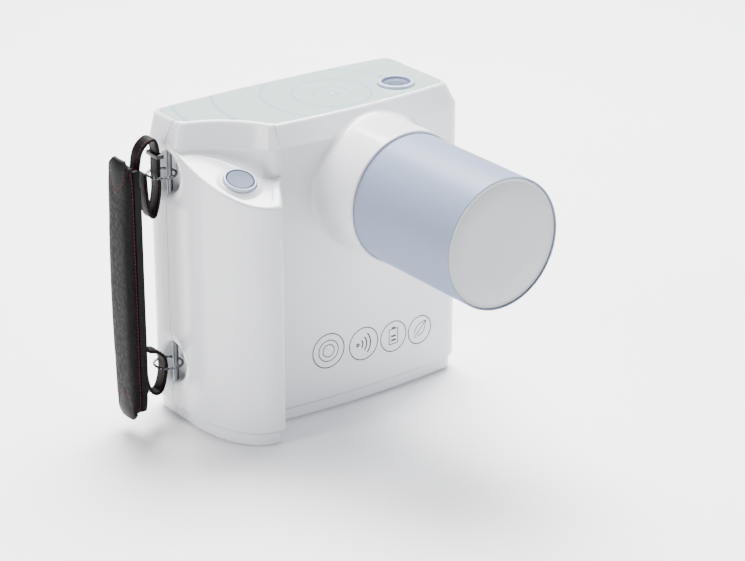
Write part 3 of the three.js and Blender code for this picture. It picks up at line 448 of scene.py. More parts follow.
def satin_plastic(name, base, roughness=0.42, shine=0.5):
    """Spark-eroded plastic: a fine even grain that spreads the highlights."""
    material, tree, surface, places = new_material(name, base, roughness, IOR=1.5, Specular_IOR_Level=shine)
    tint(tree, surface, places, base, 20, 0.02)
    roughen(tree, surface, places, 8, roughness - 0.05, roughness + 0.05)
    # Real grain is about 0.05 mm; drawn at 0.25 mm so that it still shows.
    relief(tree, surface, 0.012, "ShaderNodeTexNoise", "Fac", {
        "Scale": per_metre(0.25), "Detail": 3.0, "Vector": places,
    })
    return material


def print_ring(tree, places, centre, radius_mm, width_mm, under, ink):
    """Prints a soft-edged ring of ink round an upright axis over the colour under it; returns the colour."""
    away = add_node(tree, "ShaderNodeVectorMath", {"operation": "SUBTRACT", 0: places, 1: centre})
    flat = add_node(tree, "ShaderNodeVectorMath", {"operation": "MULTIPLY", 0: away.outputs[0], 1: (1, 1, 0)})
    reach = add_node(tree, "ShaderNodeVectorMath", {"operation": "LENGTH", 0: flat.outputs[0]})
    off = add_node(
        tree, "ShaderNodeMath", {"operation": "SUBTRACT", 0: reach.outputs["Value"], 1: radius_mm * MM}
    )
    gap = add_node(tree, "ShaderNodeMath", {"operation": "ABSOLUTE", 0: off.outputs[0]})
    line = add_node(tree, "ShaderNodeMapRange", {
        "interpolation_type": "SMOOTHSTEP", "Value": gap.outputs[0], "From Min": width_mm / 2 * MM * 0.6,
        "From Max": width_mm / 2 * MM * 1.4, "To Min": 1.0, "To Max": 0.0,
    })
    mix = add_node(tree, "ShaderNodeMix", {"data_type": "RGBA", 0: line.outputs["Result"], 6: under, 7: ink})
    return mix.outputs[2]


def printed_panel(name, base, ring_colour, centre, rings):
    """Back-printed polycarbonate film: a glossy skin over a grey-green print with pale rings on it."""
    material, tree, surface, places = new_material(
        name, base, 0.16, IOR=1.58, Coat_Weight=0.3, Coat_Roughness=0.05
    )
    roughen(tree, surface, places, 30, 0.13, 0.2)
    shade = tint(tree, surface, places, base, 45, 0.015)
    for radius, width in rings:
        shade = print_ring(tree, places, centre, radius, width, shade, ring_colour)
    tree.links.new(shade, surface.inputs["Base Color"])
    return material


def marked_button(name, base, ink, centre, radius, width):
    """Satin button cap with one printed ring in its middle."""
    material = satin_plastic(name, base, 0.46, 0.22)
    tree = material.node_tree
    colour_input = tree.nodes["Principled BSDF"].inputs["Base Color"]
    places = tree.nodes["Texture Coordinate"].outputs["Object"]
    under = colour_input.links[0].from_socket
    tree.links.new(print_ring(tree, places, centre, radius, width, under, ink), colour_input)
    return material


def grained_leather(name, base):
    """Pebbled cowhide: rounded grains of about two millimetres, creases between them and a dull sheen."""
    material, tree, surface, places = new_material(name, base, 0.55, IOR=1.5, Specular_IOR_Level=0.13)
    warp = add_node(tree, "ShaderNodeTexNoise", {"Scale": per_metre(3.0), "Detail": 2.0, "Vector": places})
    shift = add_node(tree, "ShaderNodeVectorMath", {
        "operation": "MULTIPLY_ADD", 0: warp.outputs["Color"], 1: (0.8 * MM, 0.8 * MM, 0.8 * MM), 2: places,
    })
    grains = add_node(tree, "ShaderNodeTexVoronoi", {
        "feature": "SMOOTH_F1", "Scale": per_metre(1.9), "Smoothness": 0.8, "Vector": shift.outputs[0],
    })
    pores = add_node(
        tree, "ShaderNodeTexVoronoi", {"feature": "F1", "Scale": per_metre(0.6), "Vector": shift.outputs[0]}
    )
    height = add_node(tree, "ShaderNodeMath", {
        "operation": "MULTIPLY_ADD", 0: pores.outputs["Distance"], 1: 0.12, 2: grains.outputs["Distance"],
    })
    flipped = add_node(tree, "ShaderNodeMath", {"operation": "SUBTRACT", 0: 1.0, 1: height.outputs[0]})
    raised = flipped.outputs[0]
    bump = add_node(tree, "ShaderNodeBump", {"Strength": 1.0, "Distance": 0.16 * MM, "Height": raised})
    tree.links.new(bump.outputs["Normal"], surface.inputs["Normal"])
    # Painted highlight: the grain tops are painted up to a quarter lighter than the creases between them,
    # standing in for the shine that light leaves on them.
    crest_highlight_share = add_node(tree, "ShaderNodeMapRange", {"From Min": 0.3, "From Max": 0.9, "Value": raised})
    painted_crest_highlight = add_node(tree, "ShaderNodeMix", {
        "data_type": "RGBA", 0: crest_highlight_share.outputs["Result"], 6: base, 7: scaled(base, 1.25),
    })
    tree.links.new(painted_crest_highlight.outputs[2], surface.inputs["Base Color"])
    gloss = add_node(tree, "ShaderNodeMapRange", {
        "From Min": 0.3, "From Max": 0.9, "To Min": 0.62, "To Max": 0.46, "Value": raised,
    })
    tree.links.new(gloss.outputs["Result"], surface.inputs["Roughness"])
    return material


def smooth_leather(name, base):
    """Strap leather with a pressed, almost flat grain and a low gloss."""
    material, tree, surface, places = new_material(name, base, 0.5, IOR=1.5, Specular_IOR_Level=0.13)
    tint(tree, surface, places, base, 6, 0.25)
    relief(tree, surface, 0.07, "ShaderNodeTexVoronoi", "Distance", {
        "feature": "SMOOTH_F1", "Scale": per_metre(0.7), "Vector": places,
    })
    roughen(tree, surface, places, 4, 0.42, 0.6)
    return material


def bonded_thread(name, base):
    """Twisted polyester thread: fine slanting plies and a silky shine."""
    material, tree, surface, places = new_material(name, base, 0.6, Specular_IOR_Level=0.3)
    relief(tree, surface, 0.05, "ShaderNodeTexWave", "Fac", {
        "bands_direction": "DIAGONAL", "Scale": per_metre(2.2), "Distortion": 1.0, "Vector": places,
    })
    return material


def brushed_metal(name, base, roughness, grain_mm, stretch):
    """Metal with fine drawn lines along one direction, seen as streaks in its highlights."""
    material, tree, surface, places = new_material(name, base, roughness, metallic=1.0)
    along = add_node(tree, "ShaderNodeMapping", {"Scale": stretch, "Vector": places})
    lines = relief(tree, surface, 0.01, "ShaderNodeTexNoise", "Fac", {
        "Scale": per_metre(grain_mm), "Detail": 4.0, "Vector": along.outputs["Vector"],
    })
    spread = add_node(
        tree, "ShaderNodeMapRange", {"To Min": roughness * 0.7, "To Max": roughness * 1.4, "Value": lines}
    )
    tree.links.new(spread.outputs["Result"], surface.inputs["Roughness"])
    return material


def cast_surface(name, base, roughness, metallic, grain_mm, depth_mm):
    """Cast, rolled or potted stuff: a dull, slightly uneven skin."""
    material, tree, surface, places = new_material(name, base, roughness, metallic)
    tint(tree, surface, places, base, 5, 0.12)
    relief(tree, surface, depth_mm, "ShaderNodeTexNoise", "Fac", {
        "Scale": per_metre(grain_mm), "Detail": 4.0, "Vector": places,
    })
    return material


def circuit_board_resist(name, base):
    """Solder resist on glass-epoxy board: glossy green with lighter copper tracks under it."""
    material, tree, surface, places = new_material(name, base, 0.3)
    tracks = relief(tree, surface, 0.03, "ShaderNodeTexBrick", "Fac", {
        "Scale": per_metre(8), "Mortar Size": 0.06, "Brick Width": 0.7, "Vector": places,
    })
    copper = add_node(tree, "ShaderNodeMix", {"data_type": "RGBA", 0: tracks, 6: base, 7: scaled(base, 1.8)})
    tree.links.new(copper.outputs[2], surface.inputs["Base Color"])
    return material


def clear_glass(name, base):
    """Borosilicate tube glass: clear with a faint tint and a few flow lines."""
    material, tree, surface, places = new_material(name, base, 0.03, IOR=1.47, Transmission_Weight=1.0)
    relief(tree, surface, 0.01, "ShaderNodeTexNoise", "Fac", {"Scale": per_metre(6), "Vector": places})
    return material


def dark_glass(name, base):
    """Black-printed display glass: a deep, almost mirror-smooth surface with faint smudges."""
    material, tree, surface, places = new_material(
        name, base, 0.06, IOR=1.52, Coat_Weight=0.5, Coat_Roughness=0.03
    )
    roughen(tree, surface, places, 12, 0.04, 0.12)
    return material


def lit_lens(name, base):
    """Diffusing lamp lens, lit from behind."""
    material, tree, surface, places = new_material(
        name, base, 0.2, IOR=1.49, Emission_Color=base, Emission_Strength=0.5
    )
    roughen(tree, surface, places, 0.8, 0.15, 0.3)
    return material


def moulded_rubber(name, base):
    """Silicone rubber: matt, slightly dusty, with a fine pitted skin."""
    material, tree, surface, places = new_material(name, base, 0.85, IOR=1.45)
    tint(tree, surface, places, base, 3, 0.15)
    relief(tree, surface, 0.03, "ShaderNodeTexNoise", "Fac", {
        "Scale": per_metre(0.4), "Detail": 4.0, "Vector": places,
    })
    return material


def printing_ink(name, base):
    """Pad-printed ink: a thin matt film with slightly uneven cover."""
    material, tree, surface, places = new_material(name, base, 0.5)
    tint(tree, surface, places, base, 0.7, 0.12)
    return material


_materials = {}


def material_for(key):
    """Each finish, made once and shared by the pieces that have it."""
    if key not in _materials:
        _materials[key] = MATERIALS[key]()
    return _materials[key]


def tone(name):
    """A colour of the colour group."""
    return list(getattr(bpy.context.scene.xray_colours, name))


# Radius and line width of the rings printed round the lamp, in millimetres.
PANEL_RINGS = [(9.4, 0.7), (20.0, 1.3), (35.5, 1.6), (60.0, 1.9), (80.5, 1.9)]

MATERIALS = {
    "housing": lambda: moulded_abs("White gloss ABS moulding", tone("housing")),
    "panel": lambda: printed_panel(
        "Printed polycarbonate panel film", tone("panel"), tone("panel_ring"), node_centre("status_lamp"),
        PANEL_RINGS,
    ),
    "rear_panel": lambda: printed_panel(
        "Printed polycarbonate keypad film", tone("panel"), tone("panel_ring"), node_centre("key_select"), []
    ),
    "cone": lambda: moulded_abs("Blue-grey gloss ABS cone", tone("cone"), 0.34, shine=0.12),
    "end_cap": lambda: satin_plastic("Light grey satin acrylic cap", tone("end_cap"), 0.5),
    "key": lambda: satin_plastic("Blue-grey satin ABS cap", tone("key"), 0.46, 0.22),
    "power_cap": lambda: marked_button(
        "Blue-grey satin ABS cap, ring print", tone("key"), tone("ink"), node_centre("power_button"), 3.2, 0.7
    ),
    "bezel": lambda: moulded_abs("Pale lilac gloss ABS ring", tone("bezel"), 0.24),
    "lamp": lambda: lit_lens("Cyan diffusing acrylic lens", tone("lamp")),
    "grained_leather": lambda: grained_leather("Black pebbled cowhide", tone("leather")),
    "smooth_leather": lambda: smooth_leather("Black smooth strap leather", tone("leather")),
    "thread": lambda: bonded_thread("Red bonded polyester thread", tone("thread")),
    "ink": lambda: printing_ink("Dark grey pad-printing ink", tone("ink")),
    "rubber": lambda: moulded_rubber("Grey silicone rubber", tone("rubber")),
    "chrome": lambda: brushed_metal("Bright chromed steel wire", linear("#6c6e73"), 0.22, 1.2, (1, 1, 0.3)),
    "steel": lambda: brushed_metal("Zinc-plated steel", linear("#7c7e82"), 0.42, 0.6, (1, 1, 0.15)),
    "acetal": lambda: satin_plastic("Black satin acetal", linear("#121214"), 0.4),
    "display": lambda: dark_glass("Black-printed display glass", linear("#0b0c10")),
    "lead": lambda: cast_surface("Rolled lead sheet", linear("#6f7276"), 0.6, 0.8, 2.0, 0.05),
    "aluminium": lambda: brushed_metal("Turned aluminium", linear("#b8bbbf"), 0.35, 0.5, (1, 0.1, 1)),
    "copper": lambda: brushed_metal("Bare copper", linear("#b87347"), 0.35, 0.5, (1, 1, 0.1)),
    "glass": lambda: clear_glass("Clear borosilicate glass", linear("#dfeaf0")),
    "board": lambda: circuit_board_resist("Green solder resist", linear("#1f6b3c")),
    "resin": lambda: cast_surface("Dark potting resin", linear("#2a2b30"), 0.5, 0.0, 4.0, 0.08),
    "sleeve": lambda: satin_plastic("Blue heat-shrink sleeve", linear("#2f6fb0"), 0.35),
}


# ---------------------------------------------------------------- housing outline
GRIP_CENTRE = -66.0
GRIP_BACK = 27.0
GRIP_FRONT = -15.5
GRIP_RIGHT = -65.3
GRIP_EDGE = 1.5
SCOOP_CENTRE = (-100.0, -10.0)
HEAD_CORNER = 5.0
SHARED_START = -53.0
SIDE_START = 38.0
CORNER_FRONT = 9.0
CORNER_REAR_LEFT = 10.0
CORNER_REAR_RIGHT = 8.0
SMALLEST_CORNER = 5.0
OUTER_POINTS = 150


def front_at(x, inset=0.0):
    """The crowned front face at x."""
    return inset + x * x / (2 * size("xray_housing", "front_crown"))


def rear_at(x, depth=0.0):
    """The crowned rear face at x, and what lies that deep under it."""
    away = x - size("xray_housing", "rear_apex")
    return size("xray_housing", "rear") - depth - away * away / (2 * size("xray_housing", "rear_crown"))


def resample(points, count):
    """The same line through a set number of evenly spaced points."""
    spans = [math.dist(a, b) for a, b in zip(points, points[1:])]
    total = sum(spans)
    result = []
    index, passed = 0, 0.0
    for i in range(count):
        want = total * i / (count - 1)
        while index < len(spans) - 1 and passed + spans[index] < want:
            passed += spans[index]
            index += 1
        share = min(1.0, (want - passed) / spans[index])
        a, b = points[index], points[index + 1]
        result.append((a[0] + (b[0] - a[0]) * share, a[1] + (b[1] - a[1]) * share))
    return result


def shared_part(side, front, rear):
    """Front, right side, rear and left side: what the grip and the head have in common."""
    left = size("xray_housing", "left") + side
    right = size("xray_housing", "right") - side
    corner = max(CORNER_FRONT - front, SMALLEST_CORNER)
    corner_left = max(CORNER_REAR_LEFT - side, SMALLEST_CORNER)
    corner_right = max(CORNER_REAR_RIGHT - side, SMALLEST_CORNER)
    front_end, rear_start, rear_end = right - corner, right - corner_right, left + corner_left

    def sweep(start, end, steps, face):
        return [(x, face(x)) for x in (start + (end - start) * i / steps for i in range(steps))]

    return [
        *sweep(SHARED_START, front_end, 30, lambda x: front_at(x, front)),
        *arc(front_end, front_at(front_end, front) + corner, corner, -84, 0, 12),
        *arc(rear_start, rear_at(rear_start, rear) - corner_right, corner_right, 0, 86, 12),
        *sweep(rear_start - 1, rear_end, 30, lambda x: rear_at(x, rear)),
        *arc(rear_end, rear_at(rear_end, rear) - corner_left, corner_left, 91, 180, 12),
    ]


def flare(start, end, side):
    """From the grip's front edge outwards and back into the front face, as a cubic curve."""
    first = (start[0] + 5.3, start[1] + 6.0)
    second = (end[0] - 4.0 - 0.5 * side, end[1] - 0.6)
    curve = []
    for i in range(1, 19):
        t = i / 18
        weights = ((1 - t) ** 3, 3 * t * (1 - t) ** 2, 3 * t * t * (1 - t), t ** 3)
        curve.append(tuple(
            sum(w * point[k] for w, point in zip(weights, (start, first, second, end))) for k in (0, 1)
        ))
    return curve


def grip_part(side, front):
    """From the left side round the grip's curve and front edge, and through the hollow to the front face."""
    left = size("xray_housing", "left") + side
    grip_right = GRIP_RIGHT - side
    grip_front = GRIP_FRONT + front
    half_width = GRIP_CENTRE - side - left
    depth = GRIP_BACK - grip_front
    column = []
    for i in range(41):
        angle = math.pi / 2 * i / 40
        column.append((
            GRIP_CENTRE - side - half_width * max(math.cos(angle), 0.0) ** 0.9,
            GRIP_BACK - depth * math.sin(angle),
        ))
    edge = max(GRIP_EDGE - 0.3 * side, 0.5)
    return resample([
        (left, SIDE_START),
        *column[:-1],
        *arc(grip_right - edge, grip_front + edge, edge, -90, 0, 8),
        *flare((grip_right, grip_front + edge), (SHARED_START, front_at(SHARED_START, front)), side),
    ], OUTER_POINTS)


def head_part(side, front):
    """From the left side round the scoop's upright wall to the front face."""
    left = size("xray_housing", "left") + side
    scoop = size("xray_housing", "scoop_radius") + side
    reach = scoop + HEAD_CORNER
    cx, cy = SCOOP_CENTRE
    side_x = left + HEAD_CORNER
    side_y = cy + math.sqrt(reach ** 2 - (side_x - cx) ** 2)
    corner_y = front_at(cx + scoop - side, front) + HEAD_CORNER
    corner_x = cx + math.sqrt(reach ** 2 - (corner_y - cy) ** 2)
    side_angle = math.degrees(math.atan2(side_y - cy, side_x - cx))
    front_angle = math.degrees(math.atan2(corner_y - cy, corner_x - cx))
    return resample([
        (left, max(SIDE_START, side_y + 0.01)),
        *arc(side_x, side_y, HEAD_CORNER, 180, 180 + side_angle, 14),
        *arc(cx, cy, scoop, side_angle, front_angle, 40)[1:-1],
        *arc(corner_x, corner_y, HEAD_CORNER, 180 + front_angle, 269, 14),
        (SHARED_START, front_at(SHARED_START, front)),
    ], OUTER_POINTS)


def ledge_at(y, drop=0.0):
    """Height of the sloping ledge, level where it meets the crease under the facets."""
    rise = bpy.context.scene.xray_housing.ledge_slope * (y - size("xray_housing", "ledge_front"))
    return min(size("xray_housing", "ledge_height") + rise, belt_height() - 0.9) - drop


def belt_height():
    """Height of the crease where the upper facets start."""
    return size("xray_housing", "top") - size("xray_housing", "facet_height")


def mixed(a, b, share):
    """A point between two points."""
    return (a[0] + (b[0] - a[0]) * share, a[1] + (b[1] - a[1]) * share)


# Inset and height above the shells' underside of the base's steps, in millimetres.
PLINTH = [
    (2.7, 0.0), (2.2, 0.35), (2.0, 0.9), (2.0, 5.8), (2.15, 6.0), (2.7, 6.15), (2.8, 6.6), (2.4, 6.85),
    (1.2, 6.95), (0.6, 7.15), (0.25, 7.55), (0.06, 8.1), (0.0, 9.0),
]
# Where the room inside the base ends and where it has reached the walls, above the shells' underside.
BASE_INSIDE, WALL_START = 6.5, 10.5
# Inset as a share of the facets' lean, and height above the crease, where wall turns into facet.
CREASE = [(0.0, -0.35), (0.01, 0.0), (0.04, 0.35), (0.09, 0.8)]


def housing_rings():
    """Rings of the housing's outer surface, from its underside to its top, as lists of places."""
    bottom, top, belt = size("xray_housing", "bottom"), size("xray_housing", "top"), belt_height()
    shared = shared_part(0, 0, 0)
    grip = grip_part(0, 0)
    head = head_part(0, 0)
    gap = [math.dist(a, b) for a, b in zip(grip, head)]
    rim = size("xray_housing", "ledge_rim")
    sink = size("xray_housing", "ledge_sink")
    fillet = size("xray_housing", "scoop_fillet")
    edge = size("xray_housing", "ledge_round")
    rings = []

    def flat_ring(points, z):
        rings.append([at(x, y, z) for x, y in points])

    for inset, height in PLINTH:
        flat_ring(shared_part(inset, inset, inset) + grip_part(inset, inset), bottom + height)
    flat_ring(shared + grip, bottom + 13)

    def ledge_ring(part, drop):
        """Shared points stay at the ledge's level, and the others drop below it, each by its own amount."""
        places = [at(x, y, ledge_at(y)) for x, y in shared]
        places += [at(x, y, ledge_at(y) - d) for (x, y), d in zip(part, drop)]
        rings.append(places)

    ledge_ring(grip, [min(5.0, g) + 0.02 for g in gap])
    outer = grip_part(rim + 1.2, rim + 1.2)
    reach = rim + 1.2
    for inset, down in [
        *[(edge + c, edge + s) for c, s in arc(0, 0, edge, 180, 270, 6)],
        (rim - 0.2, 0.0), (rim, 0.02), (rim + 0.3, 0.4 * sink), (rim + 0.6, 0.85 * sink), (rim + 0.9, sink),
    ]:
        shares = [min(inset, 0.4 * g * inset / reach) / reach for g in gap]
        fade = [min(1.0, g / 6) for g in gap]
        part = [mixed(a, b, s) for a, b, s in zip(grip, outer, shares)]
        ledge_ring(part, [down * f for f in fade])
    inner = head_part(-fillet, 0)
    room = [min(fillet, 0.45 * g, max(0.0, 0.85 * (belt - 1 - ledge_at(p[1])))) for g, p in zip(gap, head)]
    for degrees in range(0, 91, 15):
        turn = math.radians(degrees)
        part = [mixed(a, b, r * (1 - math.sin(turn)) / fillet) for a, b, r in zip(head, inner, room)]
        fade = [min(1.0, g / 6) for g in gap]
        lift = [r * (1 - math.cos(turn)) - sink * f * (1 - degrees / 90) for r, f in zip(room, fade)]
        ledge_ring(part, [-rise for rise in lift])
    lean = size("xray_housing", "facet_lean")
    for share, height in CREASE:
        inset = lean * share
        flat_ring(shared_part(inset, inset, 0.11 * inset) + head_part(inset, inset), belt + height)
    facet_top = top - 1.3
    top_rings = [(0.995 * lean - 0.5, facet_top), (lean, facet_top + 0.5), (lean + 0.35, facet_top + 0.9)]
    top_rings += [(lean + 0.75, facet_top + 1.15), (lean + 1.15, top - 0.03), (lean + 1.4, top)]
    for inset, z in top_rings:
        rear = 0.6 + max(0.0, inset - lean) if z > facet_top else 0.11 * inset
        flat_ring(shared_part(inset, inset, rear) + head_part(inset, inset), z)
    return rings


def inside_rings(part, levels):
    """Rings of one of the two hollows inside the shells."""
    rings = []
    for inset, z in levels:
        outline = shared_part(inset, inset, inset)[::3] + part(inset, inset)[::5]
        rings.append([at(x, y, min(z, ledge_at(y, 3.2)) if part is grip_part else z) for x, y in outline])
    return rings


# ---------------------------------------------------------------- housing pieces
FULL_TURN = 96
CONE_TURN = 160
FAR = 400.0
COLLAR_LENGTH = 28.0
COLLAR_WALL = 1.5
COLLAR_FILLET = 3.0
CONE_WALL = 1.6
CONE_LIP = 0.75
CONE_CLEARANCE = 0.3
CONE_BORE_DEPTH = 37
POWER_RING_BORE = 7.35
EXPOSURE_RIM_OUTER, EXPOSURE_RIM_BORE, EXPOSURE_RIM_PROUD = 8.3, 7.15, 2.6
EXPOSURE_CAP = 6.8
# Radii of the holes in the shells and, for the panel and the keypad, in the printed film over them.
POWER_HOLE, POWER_FILM_HOLE = 8.9, 9.75
LAMP_HOLE, LAMP_FILM_HOLE = 1.5, 1.45
KEY_HOLE, KEY_FILM_HOLE = 6.35, 6.3
EXPOSURE_HOLE = 8.6
SCREW_POST, SCREW_HOLE = 4.5, 1.7
STRAP_POST_HOLE = 1.6
EXTRA_PARTING = 0.08
POCKET = [
    (0, 6.6), (7.4, 6.6), (8.1, 6.35), (8.6, 5.8), (9.7, 3.2), (10.3, 2.1), (11.2, 1.35), (12.6, 0.75),
    (14.2, 0.35), (15.8, 0.08), (17.0, -0.12), (17.0, -1.2), (0, -1.2),
]
POCKET_BOSS = [(0, 1.2), (14.6, 1.2), (14.6, 4.6), (12.4, 5.6), (12.4, 8.6), (0, 8.6)]
# The ledge's rise round the exposure button: radius, and height above the ledge's plane.
BUTTON_SWELL = [
    (0, -2.5), (12.6, -2.5), (12.6, -1.0), (12, -0.9), (11.3, -0.65), (10.6, -0.3), (10, 0.08), (9.5, 0.45),
    (9.1, 0.7), (8.75, 0.85), (0, 0.85),
]


def wall_y(x, z):
    """The front face at x and z: crowned, and leaning back above the crease."""
    lean = size("xray_housing", "facet_lean") / (size("xray_housing", "facet_height") - 1)
    return front_at(x) + max(0.0, z - belt_height()) * lean


def cone_radius():
    """Outer radius of the beam cone."""
    return measured("cone_tube")[3]


def ledge_frame():
    """The exposure button's centre on the ledge, and the ledge's normal."""
    centre = drawn(node_centre("exposure_bezel"))
    slope = bpy.context.scene.xray_housing.ledge_slope
    normal = Vector((0, -slope, 1)).normalized()
    lift = (centre.z - (size("xray_housing", "ledge_height") + slope * (
        centre.y - size("xray_housing", "ledge_front")))) * normal.z
    return at(*(centre - normal * lift)), normal


def collar():
    """The round boss that the cone comes out of, with a hollow fillet that follows the front face."""
    radius = cone_radius() + COLLAR_WALL
    rings = []

    def ring(r, depth):
        places = []
        for i in range(FULL_TURN):
            turn = 2 * math.pi * i / FULL_TURN
            x, z = r * math.cos(turn), BEAM_Z + r * math.sin(turn)
            places.append(at(x, depth(x, z), z))
        rings.append(places)

    ring(radius + COLLAR_FILLET, lambda x, z: wall_y(x, z) + 2.2)
    for degrees in range(0, 91, 10):
        turn = math.radians(degrees)
        back = 0.03 - COLLAR_FILLET * (1 - math.cos(turn))
        ring(radius + COLLAR_FILLET * (1 - math.sin(turn)), lambda x, z, b=back: wall_y(x, z) + b)
    ring(radius, lambda x, z: -7)
    for inset, back in [(0, 0.9), (0.12, 0.35), (0.4, 0.08), (0.75, 0)]:
        ring(radius - inset, lambda x, z, y=back - COLLAR_LENGTH: y)
    return loft("collar", rings)


def headed_outline(inset, rear):
    """Outline of the head, moved in by one inset at the front and sides and by another at the rear."""
    return shared_part(inset, inset, rear) + head_part(inset, inset)


def panel_insets(gap=0.0):
    """How far the panel's edge lies inside the front and sides, and inside the rear."""
    border = size("xray_controls", "panel_border")
    return size("xray_housing", "facet_lean") + border + gap, border + 1 + gap


def plan_solid(name, levels):
    """A solid through head outlines given as (inset, rear inset, height)."""
    return loft(name, [[at(x, y, z) for x, y in headed_outline(inset, rear)] for inset, rear, z in levels])


def crown_plate(name, node, outer, inner, corner, margin=0.0):
    """A round-cornered plate as large as a CAD node, between two depths under the crowned rear face."""
    low, high = drawn_box(node)
    x0, x1, z0, z1 = low.x - margin, high.x + margin, low.z - margin, high.z + margin
    steps = 10
    starts = [corner * (1 - math.cos(math.pi / 2 * i / steps)) for i in range(steps + 1)]
    inner_run = [x0 + corner + (x1 - x0 - 2 * corner) * i / 24 for i in range(1, 24)]
    rings = []
    for x in [x0 + s for s in starts] + inner_run + [x1 - s for s in reversed(starts)]:
        from_end = min(x - x0, x1 - x)
        pull = 0.0
        if from_end < corner:
            pull = corner - math.sqrt(max(0.0, corner ** 2 - (corner - from_end) ** 2))
        rings.append([
            at(x, rear_at(x, outer), z0 + pull), at(x, rear_at(x, outer), z1 - pull),
            at(x, rear_at(x, inner), z1 - pull), at(x, rear_at(x, inner), z0 + pull),
        ])
    return loft(name, rings)


def rod(name, radius, start, end, steps=48, flare=0.0):
    """A round cutter between two places; with a flare its far end opens out, which leaves a chamfer."""
    axis = end - start
    reach = axis.length / MM
    profile = [(0, 0), (radius, 0), (radius, reach - flare)]
    profile += [(radius + flare, reach), (0, reach)] if flare else [(radius, reach), (0, reach)]
    return turned(name, profile, start, axis, steps)


def hollow_out(shell):
    """Takes the inside away, in two overlapping parts."""
    wall = size("xray_housing", "wall")
    bottom, top = size("xray_housing", "bottom"), size("xray_housing", "top")
    base = wall + PLINTH[2][0]
    lean = size("xray_housing", "facet_lean")
    combine(shell, loft("grip_space", inside_rings(grip_part, [
        (base, bottom + wall), (base, bottom + BASE_INSIDE), (wall, bottom + WALL_START),
        (wall, belt_height() - wall),
    ])), "DIFFERENCE")
    combine(shell, loft("head_space", inside_rings(head_part, [
        (wall + 0.13, bottom + WALL_START), (wall + 0.13, belt_height()), (lean + wall, top - wall - 1.2),
    ])), "DIFFERENCE")


def cut_controls(shell):
    """Seats for the panel, the buttons and the lamp."""
    top = size("xray_housing", "top")
    front, rear = panel_insets(-size("xray_controls", "joint_gap"))
    cut(shell, plan_solid("panel_seat", [
        (front, rear, top - 1.0), (front, rear, top - 0.2), (front - 1.2, rear - 1.2, top + 1.0),
    ]))
    for node, radius in [("power_bezel", POWER_HOLE), ("status_lamp", LAMP_HOLE)]:
        low = node_centre(node)
        low.z = (top - 8) * MM
        cut(shell, rod("hole", radius, low, low + UP * 9 * MM))
    centre, normal = ledge_frame()
    combine(shell, turned("button_swell", BUTTON_SWELL, centre, normal), "UNION")
    cut(shell, rod("button_hole", EXPOSURE_HOLE, centre - normal * 6 * MM, centre + normal * 8 * MM))


def cut_sides(shell):
    """The cone's bore, the strap pockets with their post holes, and the seats of the feet."""
    axis = at(0, 8, BEAM_Z)
    bore = cone_radius() + CONE_CLEARANCE
    cut(shell, rod("cone_bore", bore, axis, axis - REARWARD * CONE_BORE_DEPTH * MM, 128))
    for node in POSTS:
        low, high, middle, _ = measured(node)
        mouth = at(size("xray_housing", "left"), PARTING_Y, drawn(middle).z)
        combine(shell, turned("pocket_boss", POCKET_BOSS, mouth, (1, 0, 0)), "UNION")
        cut(shell, turned("pocket", POCKET, mouth, (1, 0, 0)))
        run = Vector((0, 0, (high.z - low.z) / 2 + 0.1 * MM))
        cut(shell, rod("post_hole", STRAP_POST_HOLE, middle - run, middle + run, 32))
    for node in FEET:
        _, high, centre, radius = measured(node)
        centre.z = high.z + 0.2 * MM
        cut(shell, rod("foot_seat", radius + 0.2, centre, centre - UP * 6 * MM))


def cut_rear(shell):
    """Seats for the keypad, the display, the charging socket and the screws."""
    cut(shell, crown_plate("keypad_seat", "rear_panel", -4, 1.0, 5.2, 0.2))
    cut(shell, crown_plate("display_hole", "display_window", -4, 7.0, 2.0, -3.0))
    rear = size("xray_housing", "rear")
    for node in KEYS:
        centre = node_centre(node)
        centre.y = at_y(rear - 10)
        cut(shell, rod("key_hole", KEY_HOLE, centre, centre + REARWARD * MM * 20))
    _, _, centre, radius = measured("charging_socket")
    centre.y = at_y(rear - 9)
    mouth = rear_at(drawn(centre).x) - (rear - 9)
    end = centre + REARWARD * MM * (mouth + 0.5)
    cut(shell, rod("socket_hole", radius + 0.2, centre, end, flare=0.8))
    for node in SCREWS:
        _, high, start, radius = measured(node)
        mouth = rear_at(drawn(start).x)
        seat = high.y - 2 * MM
        end = start.copy()
        start.y, end.y = at_y(PARTING_Y + 1), at_y(mouth - 1.2)
        combine(shell, rod("screw_post", SCREW_POST, start, end), "UNION")
        start.y, end.y = seat, at_y(mouth) + 0.4 * MM
        cut(shell, rod("screw_well", radius + 0.25, start, end, flare=0.7))
        start.y, end.y = at_y(PARTING_Y - 2), seat + 0.5 * MM
        cut(shell, rod("screw_hole", SCREW_HOLE, start, end, 32))


class XRAY_OT_housing(bpy.types.Operator):
    """Moulds the two housing shells with their collar, finger scoop, strap pockets and seats"""

    bl_idname = "xray.housing"
    bl_label = "Housing Shells"

    def execute(self, context):
        whole = loft("housing", housing_rings())
        combine(whole, collar(), "UNION")
        hollow_out(whole)
        cut_controls(whole)
        cut_sides(whole)
        cut_rear(whole)
        half = SHELL_GAP / 2 + EXTRA_PARTING
        reach = FAR / 2
        for name, low_y, high_y in [
            ("front_shell", -FAR, PARTING_Y - half), ("rear_shell", PARTING_Y + half, FAR),
        ]:
            bpy.ops.object.select_all(action="DESELECT")
            bpy.context.view_layer.objects.active = whole
            whole.select_set(True)
            bpy.ops.object.duplicate()
            shell = bpy.context.object
            shell.name = shell.data.name = name + "_moulding"
            combine(shell, block("half", at(-reach, low_y, -reach), at(reach, high_y, reach)), "INTERSECT")
            finish_piece(shell, "housing", "housing", name, weighted=True)
        bpy.data.objects.remove(whole, do_unlink=True)
        return {"FINISHED"}


